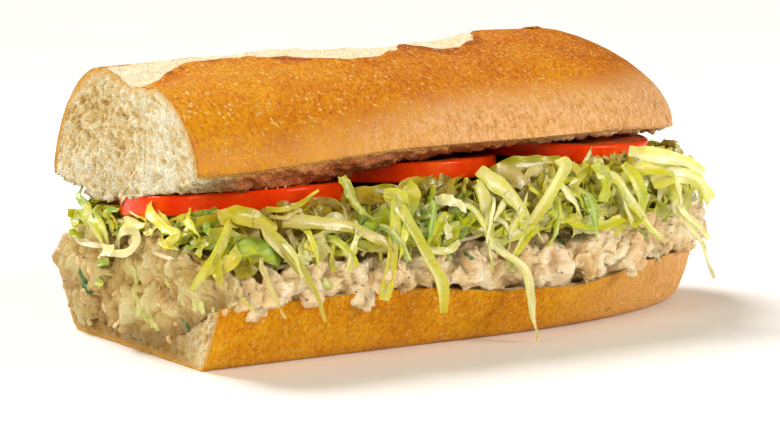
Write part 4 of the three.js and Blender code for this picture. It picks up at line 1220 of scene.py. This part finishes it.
def leaf_material():
    finish, tree, shader = new_material("crisp lettuce")
    place = mm_place(tree)
    rib, tone = attribute(tree, "rib"), attribute(tree, "tone")
    cloud = mottle(tree, place, 8, 3)
    fine = mottle(tree, place, 1.3, 3, 0.6)
    veins = mottle(tree, mm_place(tree, (0.5, 0.5, 1.4)), 1.5, 3, 0.6)
    green = sum_of(tree, (tone, 0.5), (cloud, 0.9), (fine, 0.15))
    leaf = ramp(tree, green, [
        (0.35, rgb(232, 214, 84)),
        (0.6, rgb(212, 206, 24)),
        (0.85, rgb(184, 196, 18)),
        (1.0, rgb(118, 160, 22)),
    ])
    white = ramp(tree, sum_of(tree, (rib, 1.0), (cloud, 0.45), (fine, 0.2)), [(0.55, 0.0), (0.98, 1.0)])
    colour = blend(tree, white, leaf, rgb(238, 232, 166))
    colour = blend(tree, ramp(tree, veins, [(0.45, 0.0), (0.7, 0.3)]), colour, rgb(240, 240, 168))
    # Painted shade: the lettuce turns olive brown where it is deep or shaded.
    colour = blend(tree, times(tree, attribute(tree, "deep"), 0.85), colour, rgb(160, 124, 4))
    set_inputs(tree, shader, {
        "Base Color": colour, "Roughness": ramp(tree, fine, [(0.35, 0.24), (0.7, 0.42)]),
        "Normal": bump(tree, sum_of(tree, (veins, 0.8), (fine, 0.4)), 0.3), "Subsurface Weight": 0.45,
        "Subsurface Radius": (0.003, 0.0035, 0.0008), "Subsurface Scale": 0.5, "Coat Weight": 0.06,
        "Coat Roughness": 0.2,
    })
    return finish


crisp = leaf_material()
lettuce = leaves.build("lettuce_shreds")
lettuce.data.materials.append(crisp)
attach(lettuce, "root")
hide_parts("lettuce")

core_points, core_faces = core_parts(
    lambda s, q: lettuce_surface(s, q, True, CORE_INSET),
    lambda s, q: lettuce_surface(s, q, False, CORE_INSET), 90, 60)
heap = make_piece("lettuce_heap", drawn_in(core_points, LETTUCE_DRAWN), core_faces, weld=0.01)
points, normals = points_of(heap), normals_of(heap)
rough_heap = 1.1 * swell(points, 5.0, 2) + 0.6 * np.abs(swell(points * [0.4, 1, 1.4], 2.6, 1, 4.0))
move_points(heap, points + normals * (rough_heap - 0.8)[:, None])
# The heap under the strips is painted dark as shade, less towards the right end.
set_masks(heap, rib=0.15 + 0.25 * swell(points, 5.0, 2, 9.0), tone=0.5 + 0.4 * swell(points, 7.0, 2, 2.0),
          deep=mix(1, 0.6, step(points[:, 0], 70, 140)))
heap.data.materials.append(crisp)
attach(heap, "root")

# Tomato: round slices of a ripe tomato, red skin round the edge and wet flesh with seed
# pockets on the faces. Each slice leans on the one before it.
TOMATO_RADIUS, TOMATO_THICK, TOMATO_EDGE = 30.0, 5.4, 0.9
TOMATO_SLICES = [
    ([26, -7.9, 40.1], 0.0, 0.125, 0.0),
    ([76.2, -6, 44.6], 0.01, 0.075, 1.2),
    ([128.4, -6, 47.35], 0.05, 0.0, 2.5),
]


def tomato_profile():
    """Half section of a slice, from the middle of the underside round to the middle of the top."""
    half, edge, r = TOMATO_THICK / 2, TOMATO_EDGE, TOMATO_RADIUS
    section = [[share * (r - edge), -half] for share in np.linspace(0, 1, 26)]
    for angle in np.linspace(-90, 0, 7)[1:]:
        a = math.radians(angle)
        section.append([r - edge + edge * math.cos(a), -half + edge + edge * math.sin(a)])
    for level in np.linspace(-half + edge, half - edge, 5)[1:]:
        section.append([r, level])
    for angle in np.linspace(0, 90, 7)[1:]:
        a = math.radians(angle)
        section.append([r - edge + edge * math.cos(a), half - edge + edge * math.sin(a)])
    section += [[share * (r - edge), half] for share in np.linspace(1, 0, 26)[1:]]
    return np.array(section)


def edge_lift(x, lift):
    """How far the left edge of a slice is lifted, at a place from the middle of the slice."""
    return lift * np.clip((-x - 5) / 25, 0, 1.1) ** 2


def tomato_slice(name, number, middle, right, back, lift):
    """A slice with seed pockets, laid at a slope, its left edge lifted by the slice under it."""
    section = tomato_profile()
    around = 144
    angle = np.linspace(0, 2 * np.pi, around + 1)[:-1]
    r = section[:, 0][:, None]
    x, y = r * np.cos(angle), r * np.sin(angle)
    z = np.broadcast_to(section[:, 1][:, None], x.shape).copy()
    uneven = 1 + 0.01 * np.cos(2 * angle + number) + 0.006 * np.cos(5 * angle + 2 * number)
    share = r / TOMATO_RADIUS
    pockets = 0.5 + 0.5 * np.cos(5 * angle + number + 0.5 * np.sin(2 * angle))
    in_pocket = step(pockets, 0.45, 0.75) * step(share, 0.24, 0.36) * step(share, 0.86, 0.76)
    on_face = step(share, 0.985, 0.955) + 0 * x
    flat = np.stack([x, y, z], axis=-1).reshape(-1, 3)
    wet = (swell(flat, 5, 2) * 0.22).reshape(x.shape) - 0.5 * in_pocket
    z = z + on_face * np.sign(section[:, 1])[:, None] * wet
    z = z + edge_lift(x, lift)
    points = np.stack([x * uneven, y * uneven, z], axis=-1).reshape(-1, 3)
    points = lay_down(points, middle, right, back)
    i, j = np.meshgrid(np.arange(len(section) - 1), np.arange(around), indexing="ij")
    k = (j + 1) % around
    faces = np.stack([i * around + j, i * around + k, (i + 1) * around + k, (i + 1) * around + j], axis=-1)
    masks = {"share": (share + 0 * x).ravel(), "pocket": (in_pocket * on_face).ravel(),
             "face": on_face.ravel()}
    return make_piece(name, points, faces.reshape(-1, 4), masks, weld=0.01)


def tomato_material():
    finish, tree, shader = new_material("ripe tomato")
    place = mm_place(tree)
    share, pocket, on_face = (attribute(tree, name) for name in ("share", "pocket", "face"))
    cloud = mottle(tree, place, 9, 3)
    fine = mottle(tree, place, 1.2, 3, 0.6)
    skin = ramp(tree, sum_of(tree, (cloud, 0.8), (fine, 0.15)), [
        (0.3, rgb(230, 44, 0)),
        (0.5, rgb(240, 64, 2)),
        (0.7, rgb(250, 104, 28)),
    ])
    flesh = ramp(tree, sum_of(tree, (cloud, 0.5), (fine, 0.5)), [
        (0.3, rgb(240, 88, 28)),
        (0.6, rgb(250, 128, 62)),
        (0.8, rgb(255, 174, 110)),
    ])
    seed_jelly = ramp(tree, fine, [(0.4, rgb(196, 70, 10)), (0.62, rgb(226, 150, 50))])
    colour = blend(tree, pocket, flesh, seed_jelly)
    rim = ramp(tree, share, [(0.93, 1.0), (0.975, 0.0)])
    colour = blend(tree, times(tree, on_face, rim), skin, colour)
    height = sum_of(tree, (fine, 0.4), (cloud, 0.6))
    set_inputs(tree, shader, {
        "Base Color": colour, "Roughness": ramp(tree, fine, [(0.3, 0.12), (0.7, 0.26)]),
        "Normal": bump(tree, height, 0.25), "Specular IOR Level": 0.28, "Specular Tint": (1.0, 0.6, 0.35, 1),
        "Subsurface Weight": 0.2, "Subsurface Radius": (0.006, 0.001, 0.0005), "Subsurface Scale": 0.5,
    })
    return finish


ripe = tomato_material()
for number, (middle, right, back, lift) in enumerate(TOMATO_SLICES):
    tomato = tomato_slice(f"tomato_slice_{number + 1}", number, middle, right, back, lift)
    tomato.data.materials.append(ripe)
    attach(tomato, "root")
    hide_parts(f"tomato_{number + 1}")

# The upper half of the loaf: a domed golden crust with the baker's slash along its top. The
# slash opened in the oven into a brown raised ear with a pale stretched band behind it.
TOP_CUT, TOP_TIP, TOP_RIDGE_TIP = -2.0, 178.0, 132.0
TOP_HALF_WIDTH, RIDGE_SHIFT = 40.0, 11.0
DOME_POWER, END_POWER, SAG_POWER = 1.8, 1.65, 8.0
TOP_MIDDLE = [[0, 1.2], [140, 0], [178, 2]]
TOP_LEVEL = [[0, 47.2], [70, 50.9], [130, 51.9], [178, 50.2]]
TOP_LEAN = [[0, 4.2], [70, 3.6], [130, 2.2], [178, 0]]
TOP_HEIGHT = [[0, 30.2], [45, 27.9], [100, 25.8], [125, 27.2], [150, 28]]
CRUMB_SAG = [[0, 6], [26, 9.5], [50, 6], [76, 3.4], [110, 1.4], [178, 0.5]]
SLASH_END, EAR_HEIGHT, EAR_WIDTH, SLASH_DIP, VALLEY_WIDTH = 128, 0.7, 2.6, 0.3, 8
EAR_LINE = [[0, -5], [6, -3], [11, 0], [17, 3], [24, 2.4], [30, 1.5], [37, 2.4], [41, -2], [45, -4], [49, -9],
            [56, -11], [63, -11.5], [70.5, -10.6], [79, -5.5], [86, 0.5], [90.5, -1], [94, -5],
            [100, -4.6], [107, -1], [116, 8], [128, 22]]
BAND_BACK = [[0, 14], [22, 22], [85, 28], [105, 30], [128, 36]]
SLASH_MIDDLE = [[0, 2], [30, 6], [85, 10], [105, 18], [124, 25]]
SLASH_VALLEY = [[0, 0], [22, 0.5], [45, 0.2], [75, 1.0], [100, 0]]
CUT_DIP = [[-36, 0.8], [-27.5, 1.4], [-19.6, 0.4], [-11.4, -2.6], [-4.2, -4.8], [0.7, -3.5],
           [5.2, -1.9], [13.7, -0.8], [22, -0.2], [30, 0.5]]
CUT_EDGE = [[-38.8, 51.4], [-31.9, 48.2], [-22.8, 46], [-5.8, 42.2], [1, 38.7], [4.4, 41.2],
            [10, 39.4], [20.5, 38.9], [24.5, 41.9], [32, 42.9], [41.2, 43]]


def behind_ear(x, y):
    flat = as_points(x, 0 * y, 0 * x).reshape(-1, 3)
    wander = (0.9 * swell(flat, 5, 2, 7.0)).reshape(np.shape(x + y))
    return y - along(x, EAR_LINE) - wander * step(x, 4, 16)


def slash_relief(x, y):
    behind = behind_ear(x, y)
    fade = np.clip((SLASH_END - x) / 25, 0, 1)
    width = np.where(behind > 0, 0.45, 1.0) * EAR_WIDTH
    ear = EAR_HEIGHT * np.exp(-((behind / width) ** 2))
    in_band = np.clip(behind / 3, 0, 1) * np.clip((along(x, BAND_BACK) - y) / 8, 0, 1)
    valley = along(x, SLASH_VALLEY) * np.exp(-(((y - along(x, SLASH_MIDDLE)) / VALLEY_WIDTH) ** 2))
    at_cut = along(y, CUT_DIP) * step(30 - x, 0, 34)
    return fade * (ear - SLASH_DIP * in_band) - valley + at_cut


def top_place(s, q):
    turn = np.abs(np.cos(np.pi * q))
    share = turn ** (2 / DOME_POWER)
    reach, width = plan_outline(s)
    tip = mix(TOP_RIDGE_TIP, TOP_TIP, turn ** (2 / END_POWER))
    x = TOP_CUT + (tip - TOP_CUT) * reach
    side = side_of(q)
    ridge = RIDGE_SHIFT * (0.5 + 0.5 * width)
    half = TOP_HALF_WIDTH - side * RIDGE_SHIFT
    y = along(x, TOP_MIDDLE) + ridge + side * half * share * width
    return x, y, share


def top_base(x, y):
    return along(x, TOP_LEVEL) - along(x, TOP_LEAN) * (y - along(x, TOP_MIDDLE)) / TOP_HALF_WIDTH


def top_crust(s, q):
    x, y, _ = top_place(s, q)
    rise = np.sin(np.pi * np.clip(q, 0, 1)) ** (2 / DOME_POWER)
    z = top_base(x, y) + (along(x, TOP_HEIGHT) + slash_relief(x, y)) * rise
    return as_points(x, y, z)


def top_crumb(s, q):
    x, y, share = top_place(s, q)
    z = top_base(x, y) - along(x, CRUMB_SAG) * (1 - share ** SAG_POWER)
    z = np.where(share >= 1, z, mix(along(y, CUT_EDGE), z, step(x, TOP_CUT, 14)))
    return as_points(x, y, z)


def tomato_roof(points):
    """Height of the uppermost tomato face at each point, and low where there is none."""
    roof = np.full(len(points), -100.0)
    for middle, right, back, lift in TOMATO_SLICES:
        normal = np.array([right, back, 1.0])
        flat = points[:, :2] - np.array(middle)[:2]
        plane = middle[2] - (flat @ normal[:2]) + TOMATO_THICK / 2
        inside = (flat ** 2).sum(axis=1) < (TOMATO_RADIUS - 0.5) ** 2
        roof = np.where(inside, np.maximum(roof, plane + edge_lift(flat[:, 0], lift)), roof)
    return roof


bread_top = half_loaf("bread_top_crust", top_crust, top_crumb, True, 200, 170, 58)
points, normals = points_of(bread_top), normals_of(bread_top)
x, y, z = points.T
crumb, cut, depth = (mask_of(bread_top, name) for name in ("crumb", "cut", "depth"))
behind = behind_ear(x, y)
fade = step(SLASH_END - x, 0, 22)
band_back = along(x, BAND_BACK) + 2 * swell(points, 12, 2, 15.0)
slash = step(behind, -0.3, 0.8) * step(band_back - y, 0, 5) * fade * (1 - crumb)
lay = crumb_lay(points, 6, 34, 26)
soft_relief = crumb_relief(points, crumb, depth, lay)
under_side = crumb * (1 - cut) * step(depth, 0.6, 2.5)
relief = (1 - crumb) * (0.5 * swell(points, 24, 2) + 0.15 * swell(points, 5, 2) * (1 + slash))
relief += slash * 0.5 * swell(points * [0.5, 1, 1], 4, 2, 6.0)
relief += soft_relief + 1.1 * under_side * swell(points, 2.4, 2, 9.0)
moved = points + normals * relief[:, None]

# The crumb rests on the tomato, and its torn lower edge hangs in front of the first slice.
above = tomato_roof(moved)
under = (crumb > 0.5) & (moved[:, 2] < above + 0.15) & (moved[:, 2] > above - 9)
hanging = under & (cut > 0.5)
slice_x, slice_y, _ = TOMATO_SLICES[0][0]
slice_edge = slice_x - np.sqrt(np.maximum(TOMATO_RADIUS ** 2 - (moved[:, 1] - slice_y) ** 2, 0)) - 0.6
moved[:, 0] = np.where(hanging, np.minimum(moved[:, 0], slice_edge), moved[:, 0])
moved[:, 2] = np.where(under & ~hanging, above + 0.15, moved[:, 2])
move_points(bread_top, moved)
set_lay(bread_top, lay)

patchy = step(swell(points, 9, 2, 4.0), -0.25, 0.5)
ear = np.exp(-((behind / np.where(behind > 0, 0.8, mix(1.2, 4.2, patchy))) ** 2)) * fade
height, right, back = step(z, 52, 74), step(x, 15, 90), step(y, -10, 25)
bake = 0.21 + 0.09 * height + 0.06 * swell(points, 30, 1) + 0.07 * step(x, 110, 175)
bake -= 0.08 * step(x, 70, 15) * height + 0.16 * step(x, 10, 1) * step(y, 8, 24)
bake += ear * (0.02 + 0.13 * patchy + 0.2 * swell(points, 2.2, 2, 9.0))
# Painted light: the crumb of the cut end is made lighter low down and towards the front.
fluffy = 0.5 * cut * (step(z, 56, 46) + step(y, 5, -25))
set_masks(
    bread_top, bake=bake, slash=slash, smear=0,
    # Low on the crust, most at the right end: flour and a painted sheen.
    flour=mix(0.25, 1, right) * step(mix(64, 70, right) - z, 0, 9),
    # Under the crust over the tomatoes, the crumb is painted red-brown: tomato juice, painted shade and
    # painted red light thrown up from the tomato.
    juice=crumb * (1 - cut) * step(x, 2, 14) * step(x, 150, 90),
    # The crumb is painted darker where its relief is low, as shade in the pores; on the cut end it is lighter
    # low at the front and darker at the back, as painted light and shade.
    pit=0.54 - 0.5 * soft_relief - 0.45 * fluffy + 0.2 * cut * step(y, 0, 26),
    # Painted glints, high on the crust and most towards the cut end.
    fleck=mix(0.35, 1, step(x, 90, 20)) * step(z, 56, 70),
    rind=cut * step(depth, mix(1.4, 3.4, back), 0) * mix(0.6, 1, back))
bread_top.data.materials.append(bread)
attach(bread_top, "root")
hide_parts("bread_top")

# Crumbs of the upper half that broke off at its edge: small pale torn bits that lie loose on
# the first slice of tomato. They are scattered at random near its front.
first_slice = bpy.data.objects["tomato_slice_1"]
points, normals = points_of(first_slice), normals_of(first_slice)
front_top = step(normals[:, 2], 0.6, 0.9) * step(points[:, 1], -31, -34)
set_masks(first_slice, scatter=front_top * step(points[:, 0], 2, 8))
crumbs = bit_material("bread crumb", (196, 148, 84), (236, 208, 148), (252, 240, 206), 0.7, 0.25)
bread_crumbs = scattered("bread_crumbs", first_slice, [0.7, 0.55, 0.45], 13, 0.09, 0.5, 1.5, 0.2, crumbs)
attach(bread_crumbs, "root")

# A plain pale table under soft studio light: a lamp at the front right, a weak one at the left
# and an even light from above and behind.
TABLE_REACH = 4
AIM = Vector((0, 0, 0.04))

floor_mesh = bpy.data.meshes.new("table")
corners = [(-1, -1, 0), (1, -1, 0), (1, 1.5, 0), (-1, 1.5, 0)]
floor_mesh.from_pydata([Vector(corner) * TABLE_REACH for corner in corners], [], [(0, 1, 2, 3)])
table = placed("table", floor_mesh)
finish, tree, shader = new_material("pale table")
tone = mottle(tree, mm_place(tree), 60, 2)
colour = ramp(tree, tone, [(0.3, rgb(243, 242, 240)), (0.7, rgb(247, 246, 244))])
set_inputs(tree, shader, {"Base Color": colour, "Roughness": 0.6})
table.data.materials.append(finish)


def lamp(name, place, size, power, colour=(1, 1, 1)):
    """A round soft lamp at a place in metres, turned to the sandwich."""
    light = bpy.data.lights.new(name, "AREA")
    light.shape, light.size, light.energy, light.color = "DISK", size, power, colour
    holder = placed(name, light)
    holder.location = place
    holder.rotation_euler = (AIM - Vector(place)).to_track_quat("-Z", "Y").to_euler()


lamp("front_lamp", (0.87, -1.05, 0.64), 0.45, 13.2)
sky = bpy.data.lights.new("sky_lamp", "SUN")
sky.energy, sky.angle = 3.5, math.radians(30)
placed("sky_lamp", sky).rotation_euler = Vector((-0.3, 0.9, 1.15)).to_track_quat("Z", "Y").to_euler()
lamp("side_lamp", (-1.2, -0.5, 0.6), 0.6, 9.2, (1.0, 0.89, 0.72))
world = bpy.data.worlds.new("studio")
bpy.context.scene.world = world
world.use_nodes = True
set_inputs(world.node_tree, world.node_tree.nodes["Background"], {
    "Color": (1.0, 0.84, 0.66, 1), "Strength": 0.22})
bpy.context.scene.view_settings.view_transform = "Standard"

# The camera: at the photograph's angle, a little to the left of the cut end, with a long lens
# that was measured in pixels of the picture. Its place is in millimetres.
PICTURE_WIDTH, FOCAL_PIXELS, SENSOR = 780, 3500, 36
CAMERA_PLACE = np.array([-438.0, -815.0, 181.5])

eye = bpy.data.cameras.new("eye")
eye.sensor_width, eye.lens, eye.clip_end = SENSOR, FOCAL_PIXELS / PICTURE_WIDTH * SENSOR, 30
camera = placed("eye", eye)
camera.location = ORIGIN + CAMERA_PLACE / 1000
camera.rotation_euler = Vector(TO_VIEWER).to_track_quat("Z", "Y").to_euler()
bpy.context.scene.camera = camera
